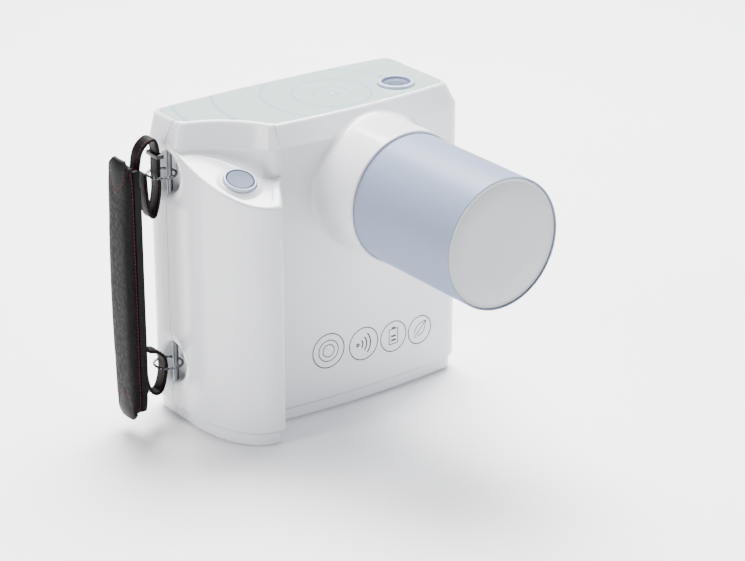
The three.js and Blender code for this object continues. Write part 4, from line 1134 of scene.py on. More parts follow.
# ---------------------------------------------------------------- panel and buttons
class XRAY_OT_top_panel(bpy.types.Operator):
    """Cuts the printed top panel and sets the status lamp in it"""

    bl_idname = "xray.top_panel"
    bl_label = "Top Panel"

    def execute(self, context):
        top = size("xray_housing", "top")
        front, rear = panel_insets()
        panel = plan_solid("panel_film", [
            (front, rear, top - 0.7), (front, rear, top - 0.2), (front + 0.06, rear + 0.06, top - 0.06),
            (front + 0.2, rear + 0.2, top),
        ])
        for node, radius in [("power_bezel", POWER_FILM_HOLE), ("status_lamp", LAMP_FILM_HOLE)]:
            low = node_centre(node)
            low.z = (top - 2) * MM
            cut(panel, rod("hole", radius, low, low + UP * 4 * MM, FULL_TURN))
        finish_piece(panel, "panel", "housing", "top_panel", weighted=True)
        low, _, centre, _ = measured("status_lamp")
        centre.z = 0
        start = low.z / MM
        dome = [(0, start), (1.25, start)]
        dome += [(r, top + h) for r, h in [(1.25, -0.15), (1.1, 0.02), (0.7, 0.14), (0, 0.18)]]
        lamp = turned("status_lamp_lens", dome, centre, UP, 32)
        finish_piece(lamp, "lamp", "housing", "status_lamp")
        return {"FINISHED"}


class XRAY_OT_power_button(bpy.types.Operator):
    """Turns the power button's ring and its sunk cap"""

    bl_idname = "xray.power_button"
    bl_label = "Power Button"

    def execute(self, context):
        top = size("xray_housing", "top")
        low, high, centre, outer = measured("power_bezel")
        centre.z = 0
        crown = high.z / MM
        seat = top - 0.65
        inner = POWER_RING_BORE
        ring = [(inner, low.z / MM), (outer - 1.3, low.z / MM), (outer - 1.3, seat), (outer, seat)]
        ring += [(outer, crown - 0.9)]
        ring += [(outer - 0.9 + r, crown - 0.9 + h) for r, h in arc(0, 0, 0.9, 10, 90, 7)]
        ring += [(inner + 0.6 + r, crown - 0.6 + h) for r, h in arc(0, 0, 0.6, 100, 180, 6)]
        bezel = turned("power_ring", ring, centre, UP, FULL_TURN)
        finish_piece(bezel, "bezel", "housing", "power_bezel")
        low, high, _, radius = measured("power_button")
        foot, rim = low.z / MM, high.z / MM
        cap = [(0, foot), (radius, foot)]
        cap += [(radius - inset, rim - drop) for inset, drop in [
            (0, 0.5), (0.15, 0.15), (0.5, 0), (0.9, 0.05), (1.6, 0.3), (3.2, 0.55), (radius, 0.65),
        ]]
        button = turned("power_button_cap", cap, centre, UP, FULL_TURN)
        finish_piece(button, "power_cap", "power_button_cap", "power_button")
        return {"FINISHED"}


class XRAY_OT_exposure_button(bpy.types.Operator):
    """Turns the exposure button's rim and its cap on the ledge"""

    bl_idname = "xray.exposure_button"
    bl_label = "Exposure Button"

    def execute(self, context):
        centre, normal = ledge_frame()
        outer, inner, proud = EXPOSURE_RIM_OUTER, EXPOSURE_RIM_BORE, EXPOSURE_RIM_PROUD
        ring = [(inner, -3), (outer, -3), (outer, 0.5), (outer - 0.1, 1.1)]
        ring += [(outer - 0.75 + r, proud - 0.65 + h) for r, h in arc(0, 0, 0.65, 20, 90, 6)]
        ring += [(inner + 0.3 + r, proud - 0.3 + h) for r, h in arc(0, 0, 0.3, 100, 180, 4)]
        rim = turned("exposure_rim", ring, centre, normal, FULL_TURN)
        finish_piece(rim, "bezel", "housing", "exposure_bezel")
        radius = EXPOSURE_CAP
        cap = [(0, -4), (radius, -4)]
        cap += [(radius - inset, proud - drop) for inset, drop in [
            (0, 0.9), (0.12, 0.5), (0.5, 0.2), (1.1, 0.22), (2.4, 0.45), (4.2, 0.62), (radius, 0.7),
        ]]
        button = turned("exposure_button_cap", cap, centre, normal, FULL_TURN)
        finish_piece(button, "key", "exposure_button_cap", "exposure_button")
        return {"FINISHED"}


class XRAY_OT_rear_controls(bpy.types.Operator):
    """Builds the keypad film, the display glass, the five keys and the charging socket at the rear"""

    bl_idname = "xray.rear_controls"
    bl_label = "Rear Controls"

    def execute(self, context):
        film = crown_plate("keypad_film", "rear_panel", 0.0, 0.7, 5.0)
        cut(film, crown_plate("window", "display_window", -3, 3, 2.2, 0.15))
        for node in KEYS:
            centre = node_centre(node)
            centre.y = at_y(size("xray_housing", "rear") - 12)
            cut(film, rod("key_hole", KEY_FILM_HOLE, centre, centre + REARWARD * MM * 20, 64))
        finish_piece(film, "rear_panel", "housing", "rear_panel")
        glass = crown_plate("display_glass", "display_window", 0.05, 0.7, 2.0)
        finish_piece(glass, "display", "housing", "display_window")
        for node in KEYS:
            self.key(node)
        self.socket()
        return {"FINISHED"}

    def key(self, node):
        """One key: a round cap with a rounded edge, a shallow dish and a raised mark."""
        low, high, centre, flange = measured(node)
        centre.y = low.y
        deep = (high.y - low.y) / MM
        radius = flange - 1
        profile = [(0, 0), (2, 0), (2, deep - 6), (radius + 1, deep - 6), (radius + 1, deep - 5)]
        profile += [(radius, deep - 5), (radius, deep - 0.6)]
        profile += [(radius - 0.6 + r, deep - 0.6 + h) for r, h in arc(0, 0, 0.6, 15, 90, 5)]
        profile += [(radius - 1.6, deep - 0.08), (radius - 3, deep - 0.25), (0, deep - 0.35)]
        cap = turned(node + "_cap", profile, centre, REARWARD, 64)
        finish_piece(cap, "key", node + "_cap", node)
        half = size("xray_controls", "key_icon") / 2
        centre.y = high.y
        if node == "key_select":
            ring = [(half - 0.35, -0.5), (half + 0.1, -0.5), (half + 0.1, -0.15), (half - 0.35, -0.15)]
            mark = turned(node + "_mark", ring, centre, REARWARD, 48)
        else:
            heading = {"key_left": 180, "key_right": 0, "key_up": 90, "key_down": 270}[node]
            corners = [math.radians(heading + a) for a in (0, 130, 230)]
            mark = loft(node + "_mark", [
                [
                    Vector((centre.x, high.y + y * MM, centre.z))
                    + Vector((math.cos(a), 0, math.sin(a))) * (half + grow) * MM
                    for a in corners
                ]
                for y, grow in [(-0.6, 0.1), (-0.16, 0.1), (-0.1, 0.0)]
            ])
        finish_piece(mark, "ink", node + "_cap")

    def socket(self):
        """The charging socket: a cup with a rounded rim and a pin in its middle."""
        low, high, centre, outer = measured("charging_socket")
        centre.y = low.y
        deep = (high.y - low.y) / MM - 0.35
        bore = outer - 1.4
        profile = [(0, 0), (outer, 0), (outer, deep - 0.4), (outer - 0.4, deep), (bore + 0.3, deep)]
        profile += [(bore, deep - 0.3), (bore, 2), (0.8, 2)]
        profile += [(0.8, deep - 2.3), (0.5, deep - 2), (0, deep - 1.95)]
        socket = turned("charging_jack", profile, centre, REARWARD, 64)
        finish_piece(socket, "acetal", "housing", "charging_socket")


class XRAY_OT_beam_cone(bpy.types.Operator):
    """Turns the beam cone with its rounded rim, and its end cap"""

    bl_idname = "xray.beam_cone"
    bl_label = "Beam Cone"

    def execute(self, context):
        outer = cone_radius()
        inner = outer - CONE_WALL
        start = Vector((ORIGIN.x, CONE_HIGH.y, (CONE_LOW.z + CONE_HIGH.z) / 2))
        reach = (CONE_HIGH.y - CONE_LOW.y) / MM
        lip = outer - CONE_LIP
        tube = [(inner, 0), (outer, 0), (outer, reach - 0.35)]
        tube += [(outer - 0.35 + r, reach - 0.35 + h) for r, h in arc(0, 0, 0.35, 20, 90, 4)]
        tube += [(lip + 0.2 + r, reach - 0.2 + h) for r, h in arc(0, 0, 0.2, 90, 180, 3)]
        tube += [(lip, reach - 3.2), (inner, reach - 3.2)]
        cone = turned("cone_moulding", tube, start, -REARWARD, CONE_TURN)
        finish_piece(cone, "cone", "housing", "cone_tube")
        face = (CONE_HIGH.y - CAP_LOW.y) / MM
        back = (CONE_HIGH.y - CAP_HIGH.y) / MM
        edge = lip - 0.1
        cap = [(0, back), (edge, back)]
        cap += [(edge - inset, face - drop) for inset, drop in [
            (0, 0.35), (0.1, 0.1), (0.35, 0), (1.2, 0), (1.35, 0.08), (1.5, 0),
        ]]
        cap += [(20, face + 0.02), (0, face + 0.05)]
        disc = turned("cone_end_disc", cap, start, -REARWARD, CONE_TURN)
        finish_piece(disc, "end_cap", "housing", "cone_end_cap")
        return {"FINISHED"}


# ---------------------------------------------------------------- printed marks
INK_LINE = 0.52
# Centre and radius of each printed circle on the front face, in drawing millimetres.
PICTOGRAMS = [(-27.7, 34.6, 9.3), (-6.2, 32.9, 8.85), (12.9, 31.7, 8.3), (30.5, 30.3, 7.7)]


def stroke(name, path, width, place, closed=False):
    """A line of ink along a path of (u, v) millimetres; place puts u, v and a height in the frame."""
    rings = []
    count = len(path)
    for i, (u, v) in enumerate(path):
        before = path[(i - 1) % count] if closed or i else path[i]
        after = path[(i + 1) % count] if closed or i < count - 1 else path[i]
        du, dv = after[0] - before[0], after[1] - before[1]
        half = width / 2 / math.hypot(du, dv)
        su, sv = -dv * half, du * half
        rings.append([
            place(u + su, v + sv, 0.05), place(u - su, v - sv, 0.05),
            place(u - su, v - sv, -0.25), place(u + su, v + sv, -0.25),
        ])
    return loft(name, rings, closed)


def on_front(u, v, height):
    """A place on the front face."""
    return at(u, front_at(u) - height, v)


def on_panel(u, v, height):
    """A place on the top panel."""
    return at(u, v, size("xray_housing", "top") + height - 0.04)


def circle(cx, cy, radius, steps=48):
    """Points round a circle."""
    return arc(cx, cy, radius, 0, 360 * (steps - 1) / steps, steps - 1)


class XRAY_OT_marks(bpy.types.Operator):
    """Prints the row of plain pictograms on the front face and the small marks on the panel"""

    bl_idname = "xray.marks"
    bl_label = "Printed Marks"

    def execute(self, context):
        lines = []

        def draw(path, place=on_front, closed=False, width=INK_LINE):
            lines.append(stroke("ink_line", path, width, place, closed))

        for x, z, radius in PICTOGRAMS:
            draw(circle(x, z, radius, 64), closed=True, width=0.6)
        x, z, radius = PICTOGRAMS[0]
        for share in (0.62, 0.36):
            draw(circle(x, z, radius * share, 40), closed=True)
        x, z, radius = PICTOGRAMS[1]
        for share in (0.28, 0.5, 0.72):
            draw(arc(x - radius * 0.42, z, radius * share * 1.25, -42, 42, 16), width=0.8)
        draw(circle(x - radius * 0.42, z, 0.7, 16), closed=True, width=0.8)
        x, z, radius = PICTOGRAMS[2]
        half, tall = radius * 0.34, radius * 0.5
        body = [(x - half, z - tall), (x + half, z - tall), (x + half, z + tall), (x - half, z + tall)]
        for a, b in zip(body, body[1:] + body[:1]):
            draw([a, b])
        draw([(x - half * 0.4, z + tall + 0.7), (x + half * 0.4, z + tall + 0.7)], width=1.0)
        for step in (-0.5, 0.05):
            draw([(x - half * 0.55, z + tall * step), (x + half * 0.55, z + tall * step)], width=1.1)
        x, z, radius = PICTOGRAMS[3]
        leaf = [(x - radius * 0.5 + u * radius * 1.05, z - radius * 0.5 + u * radius * 1.05) for u in (0, 1)]
        draw(leaf)
        for side in (-1, 1):
            bend = [
                (
                    leaf[0][0] + t * radius * 1.05 - side * math.sin(math.pi * t) * radius * 0.26,
                    leaf[0][1] + t * radius * 1.05 + side * math.sin(math.pi * t) * radius * 0.26,
                )
                for t in [0.18 + 0.82 * i / 12 for i in range(13)]
            ]
            draw(bend)
        finish_piece(join("front_pictograms", lines), "ink", "housing")
        lines.clear()
        draw([(-66.0, 27.0), (-61.5, 27.0)], on_panel, width=0.5)
        draw([(-66.0, 29.2), (-63.2, 29.2)], on_panel, width=0.5)
        centre = drawn(node_centre("status_lamp"))
        draw(arc(centre.x, centre.y, 3.4, 200, 340, 14), on_panel, width=0.35)
        centre = drawn(node_centre("power_bezel"))
        draw([(centre.x - 1.6, centre.y + 13.2), (centre.x + 1.6, centre.y + 13.2)], on_panel, width=0.5)
        finish_piece(join("panel_marks", lines), "ink", "housing")
        return {"FINISHED"}


# ---------------------------------------------------------------- strap
STRAP_WIDTH = 8.0
STRAP_THICKNESS = 1.6
UPPER_ROUTE = [
    (-111.6, 115), (-111.6, 125), (-111.6, 135), (-109.6, 147), (-104.6, 152.2), (-101, 151.6), (-99.5, 145),
    (-99.5, 135), (-99.5, 125), (-102, 114), (-104.7, 114), (-106.5, 123), (-107.3, 136),
]
LOWER_ROUTE = [
    (-111.6, 55), (-111.6, 47), (-108.6, 42), (-103.6, 40), (-99.5, 35), (-99.5, 27), (-102, 19),
    (-106, 17.8), (-109.6, 23), (-111.4, 33),
]


def curved(points, per_span=7):
    """A smooth line through points, as a Catmull-Rom curve."""
    line = []
    ends = [points[0], *points, points[-1]]
    for a, b, c, d in zip(ends, ends[1:], ends[2:], ends[3:]):
        for i in range(per_span):
            t = i / per_span
            line.append(tuple(
                0.5 * (
                    2 * q + (r - p) * t + (2 * p - 5 * q + 4 * r - s) * t * t
                    + (3 * q - p - 3 * r + s) * t ** 3
                )
                for p, q, r, s in zip(a, b, c, d)
            ))
    return [*line, points[-1]]


def along(path):
    """Places along an (x, z) path with its direction and its normal there, as (point, direction, normal)."""
    frames = []
    for i, (x, z) in enumerate(path):
        a, b = path[max(i - 1, 0)], path[min(i + 1, len(path) - 1)]
        heading = Vector((b[0] - a[0], 0, b[1] - a[1])).normalized()
        frames.append((Vector((x, PARTING_Y, z)), heading, Vector((-heading.z, 0, heading.x))))
    return frames


def ribbon(name, path, width, thickness):
    """A flat strap with rounded edges along an (x, z) path."""
    half, thin = width / 2, thickness / 2
    section = [(half - thin + c, s) for c, s in arc(0, 0, thin, -90, 90, 6)]
    section += [(thin - half + c, s) for c, s in arc(0, 0, thin, 90, 270, 6)]
    rings = []
    for point, heading, normal in along(path):
        rings.append([at(*(point + Vector((0, u, 0)) + normal * v)) for u, v in section])
    return loft(name, rings)


def stitch_shape():
    """One stitch along X: a spindle of thread that dips in at both ends."""
    reach = size("xray_strap", "stitch_length") / 2
    thick = size("xray_strap", "thread") / 2
    profile = [(0, -reach), (0.7 * thick, -reach + 0.15), (thick, -reach * 0.4), (thick, reach * 0.4)]
    profile += [(0.7 * thick, reach - 0.15), (0, reach)]
    return turned("stitch", profile, Vector((0, 0, 0)), (1, 0, 0), 8)


def sew(name, body, seams):
    """Lays stitches along seams, each a list of (place in mm, normal) that the thread follows."""
    shape = stitch_shape()
    pitch = size("xray_strap", "stitch_pitch")
    thick = size("xray_strap", "thread") / 2
    copies = []
    for seam in seams:
        travelled, due = 0.0, pitch / 2
        for (a, up), (b, _) in zip(seam, seam[1:]):
            span = (b - a).length
            if span < 1e-6:
                continue
            while travelled + span >= due:
                centre = a + (b - a) * ((due - travelled) / span) + up * thick * 0.35
                heading = (b - a).normalized()
                side = up.cross(heading).normalized()
                matrix = Matrix((heading, side, heading.cross(side))).transposed().to_4x4()
                matrix.translation = at(*centre)
                copy = shape.copy()
                copy.data = shape.data.copy()
                copy.data.transform(matrix)
                bpy.context.collection.objects.link(copy)
                copies.append(copy)
                due += pitch
            travelled += span
    bpy.data.objects.remove(shape, do_unlink=True)
    return finish_piece(join(name, copies), "thread", body, angle=60)


def strap_seams(path, width, thickness, skip=3):
    """Two rows of stitches on each face of a strap."""
    inset = width / 2 - size("xray_strap", "edge_margin")
    seams = []
    frames = along(path)[skip:-skip]
    for side in (-1, 1):
        for face in (-1, 1):
            seams.append([
                (point + Vector((0, side * inset, 0)) + normal * face * thickness / 2, normal * face)
                for point, _, normal in frames
            ])
    return seams


class XRAY_OT_strap_bands(bpy.types.Operator):
    """Lays the two leather bands through their rings and sews them with red thread"""

    bl_idname = "xray.strap_bands"
    bl_label = "Strap Bands"

    def execute(self, context):
        seams = []
        for node, route in [("upper_strap", UPPER_ROUTE), ("lower_strap", LOWER_ROUTE)]:
            path = curved(route)
            band = ribbon(node + "_band", path, STRAP_WIDTH, STRAP_THICKNESS)
            finish_piece(band, "smooth_leather", "hand_strap", node, angle=50)
            seams += strap_seams(path, STRAP_WIDTH, STRAP_THICKNESS)
        sew("band_stitching", "hand_strap", seams)
        return {"FINISHED"}


class XRAY_OT_strap_metal(bpy.types.Operator):
    """Forms the posts, the twisted wire rings and the strap's slider"""

    bl_idname = "xray.strap_metal"
    bl_label = "Strap Rings"

    def execute(self, context):
        for node in POSTS:
            low, high, centre, radius = measured(node)
            centre.z = 0
            start, end = low.z / MM, high.z / MM
            profile = [(0, start), (radius - 0.4, start), (radius, start + 0.4), (radius, end - 0.4)]
            post = turned(node + "_rod", profile + [(radius - 0.4, end), (0, end)], centre, UP, 32)
            finish_piece(post, "steel", "housing", node)
        for node in ("strap_ring_upper", "strap_ring_lower"):
            self.twisted_ring(node)
        low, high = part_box("strap_slider")
        trim = Vector((0.7, 0.3, 0.6)) * MM
        bar = block("slider_bar", low + trim, high - trim, 0.5, 4)
        middle = drawn((low + high) / 2)
        reach = Vector((1.1, 4.3, 9))
        cut(bar, block("slot", at(*(middle - reach)), at(*(middle + reach))))
        finish_piece(bar, "acetal", "hand_strap", "strap_slider")
        return {"FINISHED"}

    def twisted_ring(self, node, turns=9, steps=180):
        """A ring of two wires laid round each other."""
        low, high, centre, radius = measured(node)
        centre = drawn(centre)
        half_wire = (high.z - low.z) / 2 / MM
        middle = radius - half_wire - 0.1
        wire = half_wire * 0.62
        offset = half_wire - wire
        strands = []
        for start in (0, math.pi):
            rings = []
            for i in range(steps):
                turn = 2 * math.pi * i / steps
                roll = turns * turn + start
                reach, lift = middle + offset * math.cos(roll), offset * math.sin(roll)
                rings.append([
                    at(
                        centre.x + (reach + c) * math.cos(turn), centre.y + (reach + c) * math.sin(turn),
                        centre.z + lift + s,
                    )
                    for c, s in circle(0, 0, wire, 10)
                ])
            strands.append(loft("strand", rings, closed=True))
        ring = join(node + "_wire", strands)
        finish_piece(ring, "chrome", "hand_strap", node, angle=60)


PAD_INSET = 0.9
PAD_EDGE = 2.6
PAD_BOW = 1.2
PAD_STEPS = 46
# Room left for the tabs at the pad's ends, the pad's width there as a share, and how far the taper reaches.
PAD_END_SPACE, PAD_END_WIDTH, PAD_TAPER = 3.2, 0.76, 8
# The end tabs' outline and seam across and along the pad, and their edge as share of the outline and height.
TAB_OUTLINE = [(-4.6, 0.0), (4.6, 0.0), (7.6, 3.2), (7.6, 11.0), (0.0, 18.5), (-7.6, 11.0), (-7.6, 3.2)]
TAB_SEAM = [(-6.4, 3.6), (-6.4, 10.4), (0.0, 16.7), (6.4, 10.4), (6.4, 3.6)]
TAB_EDGE = [(1.0, -1.6), (1.0, -0.1), (0.985, 0.12), (0.95, 0.2), (0.5, 0.2), (0.02, 0.2)]


def pad_outer(z):
    """The pad's bowed outer face at a height."""
    low, high = drawn_box("hand_pad")
    share = (z - (low.z + high.z) / 2) / ((high.z - low.z) / 2)
    return low.x + PAD_BOW * share * share


def pad_body():
    """The pad before it swells: a bowed bar with rounded edges and pointed ends."""
    low, high = drawn_box("hand_pad")
    middle = (low.y + high.y) / 2
    rings = []
    start, end = low.z + PAD_END_SPACE, high.z - PAD_END_SPACE
    for i in range(PAD_STEPS + 1):
        z = start + (end - start) * i / PAD_STEPS
        from_end = min(z - start, end - z)
        narrow = PAD_END_WIDTH + (1 - PAD_END_WIDTH) * math.sqrt(min(1.0, from_end / PAD_TAPER))
        half = ((high.y - low.y) / 2 - PAD_INSET) * narrow
        outer = pad_outer(z) + PAD_INSET + (1 - narrow) * 2
        inner = high.x - 0.5 - (1 - narrow) * 1.5
        edge = min(PAD_EDGE, half * 0.6, (inner - outer) / 2 - 0.3)
        section = []
        for cx, cy, first in [
            (inner - edge, middle + half - edge, 0), (outer + edge, middle + half - edge, 90),
            (outer + edge, middle - half + edge, 180), (inner - edge, middle - half + edge, 270),
        ]:
            section += arc(cx, cy, edge, first, first + 90, 5)
        rings.append([at(x, y, z) for x, y in section])
    return loft("hand_pad_cushion", rings)


def swell(pad):
    """Lets the pad fill out in a cloth simulation, with a limit on how far any point may move."""
    apply_modifier(pad, "REMESH", mode="VOXEL", voxel_size=1.5 * MM)
    before = [v.co.copy() for v in pad.data.vertices]
    cloth = pad.modifiers.new("Cloth", "CLOTH")
    cloth.settings.use_pressure = True
    cloth.settings.uniform_pressure_force = bpy.context.scene.xray_strap.puff
    cloth.settings.effector_weights.gravity = 0
    cloth.settings.mass = 0.1
    scene = bpy.context.scene
    for step in range(1, 21):
        scene.frame_set(step)
    bpy.ops.object.select_all(action="DESELECT")
    bpy.context.view_layer.objects.active = pad
    pad.select_set(True)
    bpy.ops.object.modifier_apply(modifier=cloth.name)
    limit = bpy.context.scene.xray_strap.puff_limit
    low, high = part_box("hand_pad")
    for vertex, old in zip(pad.data.vertices, before):
        move = vertex.co - old
        if move.length > limit:
            move *= limit / move.length
        place = old + move
        vertex.co = Vector((
            min(max(place.x, low.x), high.x - 0.1 * MM), min(max(place.y, low.y), high.y),
            min(max(place.z, low.z), high.z),
        ))
    scene.frame_set(1)


class XRAY_OT_hand_pad(bpy.types.Operator):
    """Stuffs the hand pad by cloth simulation, then adds its side band, end tabs, backing and stitches"""

    bl_idname = "xray.hand_pad"
    bl_label = "Hand Pad"

    def execute(self, context):
        pad = pad_body()
        swell(pad)
        apply_modifier(pad, "SMOOTH", factor=0.5, iterations=4)
        apply_modifier(pad, "SUBSURF", levels=1, render_levels=1)
        finish_piece(pad, "grained_leather", "hand_strap", "hand_pad", angle=180)
        low, high = drawn_box("pad_backing")
        backing = block("pad_lining", at(*low), at(*high), 0.5, 3)
        finish_piece(backing, "smooth_leather", "hand_strap", "pad_backing", angle=50)
        self.side_bands()
        self.tabs()
        return {"FINISHED"}

    def side_bands(self):
        """A smooth strip along each side of the pad, toward the body, with its row of stitches."""
        low, high = drawn_box("hand_pad")
        seams = []
        strips = []
        for face, y in ((-1, low.y), (1, high.y)):
            rings = []
            seam = []
            for i in range(41):
                z = low.z + 5 + (high.z - low.z - 10) * i / 40
                skin = y - face * (0.55 + 1.6 * max(0.0, 1 - min(i, 40 - i) / 3) ** 2)
                rings.append([
                    at(high.x - 0.05, skin + face * 0.3, z), at(high.x - 2.5, skin + face * 0.55, z),
                    at(high.x - 3.1, skin + face * 0.2, z), at(high.x - 3.1, skin - face * 1.2, z),
                    at(high.x - 0.05, skin - face * 1.2, z),
                ])
                seam.append((Vector((high.x - 4.3, skin + face * 0.22, z)), Vector((0, face, 0))))
            strips.append(loft("side_band", rings))
            seams.append(seam)
        bands = join("pad_side_bands", strips)
        finish_piece(bands, "smooth_leather", "hand_strap", angle=40)
        sew("pad_side_stitching", "hand_strap", seams)

    def tabs(self):
        """The flat tabs that hold the pad's ends, with their edges sewn to a point."""
        low, high = drawn_box("hand_pad")
        middle = (low.y + high.y) / 2
        seams = []
        tabs = []
        for end, heading in ((high.z, -1), (low.z, 1)):
            fine = []
            for a, b in zip(TAB_OUTLINE, TAB_OUTLINE[1:] + TAB_OUTLINE[:1]):
                fine += [mixed(a, b, i / 6) for i in range(6)]

            def face_at(u, v, height, end=end, heading=heading):
                z = end + heading * v
                drop = 0.05 * u * u / 3 + 1.1 * max(0.0, 1 - v / 6) ** 2
                return Vector((pad_outer(z) + drop - height + 0.75, middle + u, z))

            rings = []
            for grow, height in TAB_EDGE:
                rings.append([at(*face_at(u * grow, 9 + (v - 9) * grow, height)) for u, v in fine])
            tabs.append(loft("tab", rings))
            seam = []
            for a, b in zip(TAB_SEAM, TAB_SEAM[1:]):
                seam += [(face_at(*mixed(a, b, i / 8), 0.2), Vector((-1, 0, 0))) for i in range(8)]
            seams.append(seam)
        pieces = join("pad_end_tabs", tabs)
        finish_piece(pieces, "smooth_leather", "hand_strap", angle=40)
        sew("pad_end_stitching", "hand_strap", seams)


# ---------------------------------------------------------------- feet, screws and the inside
class XRAY_OT_fixings(bpy.types.Operator):
    """Turns the feet and the cross-recessed screws"""

    bl_idname = "xray.fixings"
    bl_label = "Feet and Screws"

    def execute(self, context):
        for node in FEET:
            _, high, centre, radius = measured(node)
            centre.z = 0
            tall = high.z / MM
            profile = [(0, 0.25), (radius - 1.6, 0.25), (radius - 1.3, 0), (radius - 0.5, 0)]
            profile += [(radius - 0.15, 0.15), (radius, 0.5), (radius, tall), (0, tall)]
            foot = turned(node + "_pad", profile, centre, UP, 48)
            finish_piece(foot, "rubber", "housing", node)
        for node in SCREWS:
            low, high, centre, radius = measured(node)
            centre.y = low.y
            deep = (high.y - low.y) / MM
            profile = [(0, 0), (1.3, 0), (1.5, 0.3), (1.5, deep - 2), (radius, deep - 2)]
            profile += [(radius, deep - 0.9), (radius * 0.86, deep - 0.4)]
            profile += [(radius * 0.6, deep - 0.1), (0, deep)]
            screw = turned(node + "_pan_head", profile, centre, REARWARD, 48)
            middle = drawn(centre)
            face = drawn(high).y
            for across, tall in ((1.6, 0.3), (0.3, 1.6)):
                cut(screw, block(
                    "slot", at(middle.x - across, face - 1.1, middle.z - tall),
                    at(middle.x + across, face + 1, middle.z + tall),
                ))
            finish_piece(screw, "steel", "housing", node)
        return {"FINISHED"}


# Finish of each part that stays as the CAD frame has it.
INSIDE = {
    "aluminium": ["aluminium_filter", "tube_head_tank", "tube_head_lid"],
    "lead": ["aperture_plate", "cone_lead_liner", "lead_jacket"],
    "sleeve": ["battery_cell_1", "battery_cell_2", "battery_cell_3"],
    "steel": ["battery_contact_plate", "transformer_core", "tube_cathode"],
    "acetal": [
        "battery_tray", "exposure_switch", "power_switch", "buzzer", "processor", "display_module",
        "capacitor",
    ],
    "resin": ["high_voltage_block"],
    "board": ["main_board", "key_board"],
    "copper": ["transformer_coil", "tube_anode"],
    "glass": ["tube_glass"],
}


class XRAY_OT_inside(bpy.types.Operator):
    """Gives the tube head, battery and boards inside the housing their finishes"""

    bl_idname = "xray.inside"
    bl_label = "Inside Parts"

    def execute(self, context):
        for finish, nodes in INSIDE.items():
            for node in nodes:
                piece = bpy.data.objects[node]
                piece.data.materials.clear()
                piece.data.materials.append(material_for(finish))
        return {"FINISHED"}


# ---------------------------------------------------------------- stage
CAMERA_PLACE = (-716.42, -954.25, 586.88)
CAMERA_AIM = (0.54998, 0.73323, -0.39985)
CAMERA_LENS = 124.52
FLOOR_GLOW = 0.06
WORLD_STRENGTH = 0.27
LIGHTS_AIM = (0, 0, 80)
# Name and place in drawing millimetres, size in metres, watts and colour; each is aimed at LIGHTS_AIM.
LIGHTS = [
    ("top_softbox", (380, 480, 1300), (1.1, 0.9), 124, "#ffffff"),
    ("left_softbox", (-1500, 100, 500), (0.45, 1.4), 25, "#ffffff"),
    ("front_softbox", (900, -1300, 500), (0.5, 0.9), 14, "#f8fbff"),
]


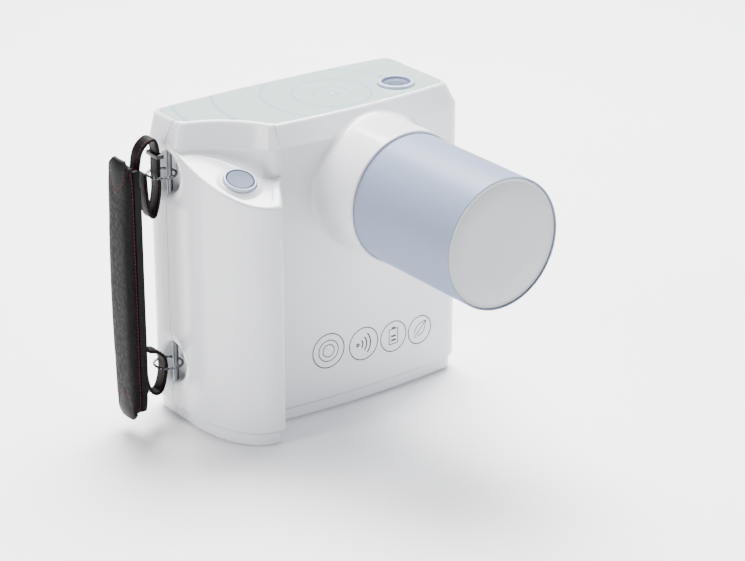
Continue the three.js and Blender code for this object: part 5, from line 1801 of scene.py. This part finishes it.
class XRAY_OT_stage(bpy.types.Operator):
    """Lays the plain floor and sets the soft studio lights and the camera"""

    bl_idname = "xray.stage"
    bl_label = "Studio Stage"

    def execute(self, context):
        bpy.ops.object.select_all(action="DESELECT")
        bpy.ops.mesh.primitive_plane_add(size=14, location=(0, 0, 0))
        floor = bpy.context.object
        floor.name = floor.data.name = "studio_floor"
        material, tree, surface, places = new_material("White satin studio board", linear("#fdfdfe"), 0.3)
        surface.inputs["Emission Color"].default_value = linear("#ffffff")
        surface.inputs["Emission Strength"].default_value = FLOOR_GLOW
        roughen(tree, surface, places, 90, 0.3, 0.4)
        floor.data.materials.append(material)
        world = bpy.data.worlds.new("Studio")
        context.scene.world = world
        world.use_nodes = True
        back = world.node_tree.nodes["Background"]
        back.inputs["Color"].default_value = linear("#f6f7fa")
        back.inputs["Strength"].default_value = WORLD_STRENGTH
        for name, place, across, watts, shade in LIGHTS:
            bpy.ops.object.light_add(type="AREA", location=at(*place))
            light = bpy.context.object
            light.name = light.data.name = name
            light.data.shape = "RECTANGLE"
            light.data.size, light.data.size_y = across
            light.data.energy = watts
            light.data.color = linear(shade)[:3]
            light.rotation_euler = (at(*LIGHTS_AIM) - at(*place)).to_track_quat("-Z", "Y").to_euler()
        bpy.ops.object.camera_add(location=at(*CAMERA_PLACE))
        camera = bpy.context.object
        camera.name = camera.data.name = "studio_camera"
        camera.rotation_euler = Vector(CAMERA_AIM).to_track_quat("-Z", "Y").to_euler()
        camera.data.lens = CAMERA_LENS
        camera.data.sensor_width = 36
        camera.data.clip_end = 50
        context.scene.camera = camera
        return {"FINISHED"}


class XRAY_PT_sidebar(bpy.types.Panel):
    """Lists the pieces in the order that they are built in"""

    bl_idname = "XRAY_PT_sidebar"
    bl_label = "X-ray Unit"
    bl_space_type = "VIEW_3D"
    bl_region_type = "UI"
    bl_category = "X-ray Unit"

    def draw(self, context):
        for operator in OPERATORS:
            self.layout.operator(operator.bl_idname)
        for group, kind in GROUPS.items():
            column = self.layout.column(align=True)
            for name in kind.__annotations__:
                column.prop(getattr(context.scene, group), name)


OPERATORS = [
    XRAY_OT_housing, XRAY_OT_top_panel, XRAY_OT_power_button, XRAY_OT_exposure_button, XRAY_OT_rear_controls,
    XRAY_OT_beam_cone, XRAY_OT_marks, XRAY_OT_strap_metal, XRAY_OT_strap_bands, XRAY_OT_hand_pad,
    XRAY_OT_fixings, XRAY_OT_inside, XRAY_OT_stage,
]
CLASSES = [*GROUPS.values(), *OPERATORS, XRAY_PT_sidebar]


def register():
    for kind in CLASSES:
        bpy.utils.register_class(kind)
    for name, kind in GROUPS.items():
        setattr(bpy.types.Scene, name, bpy.props.PointerProperty(type=kind))


def unregister():
    for name in GROUPS:
        delattr(bpy.types.Scene, name)
    for kind in reversed(CLASSES):
        bpy.utils.unregister_class(kind)


def main():
    register()
    bpy.ops.xray.housing()
    bpy.ops.xray.top_panel()
    bpy.ops.xray.power_button()
    bpy.ops.xray.exposure_button()
    bpy.ops.xray.rear_controls()
    bpy.ops.xray.beam_cone()
    bpy.ops.xray.marks()
    bpy.ops.xray.strap_metal()
    bpy.ops.xray.strap_bands()
    bpy.ops.xray.hand_pad()
    bpy.ops.xray.fixings()
    bpy.ops.xray.inside()
    bpy.ops.xray.stage()


if __name__ == "__main__":
    main()
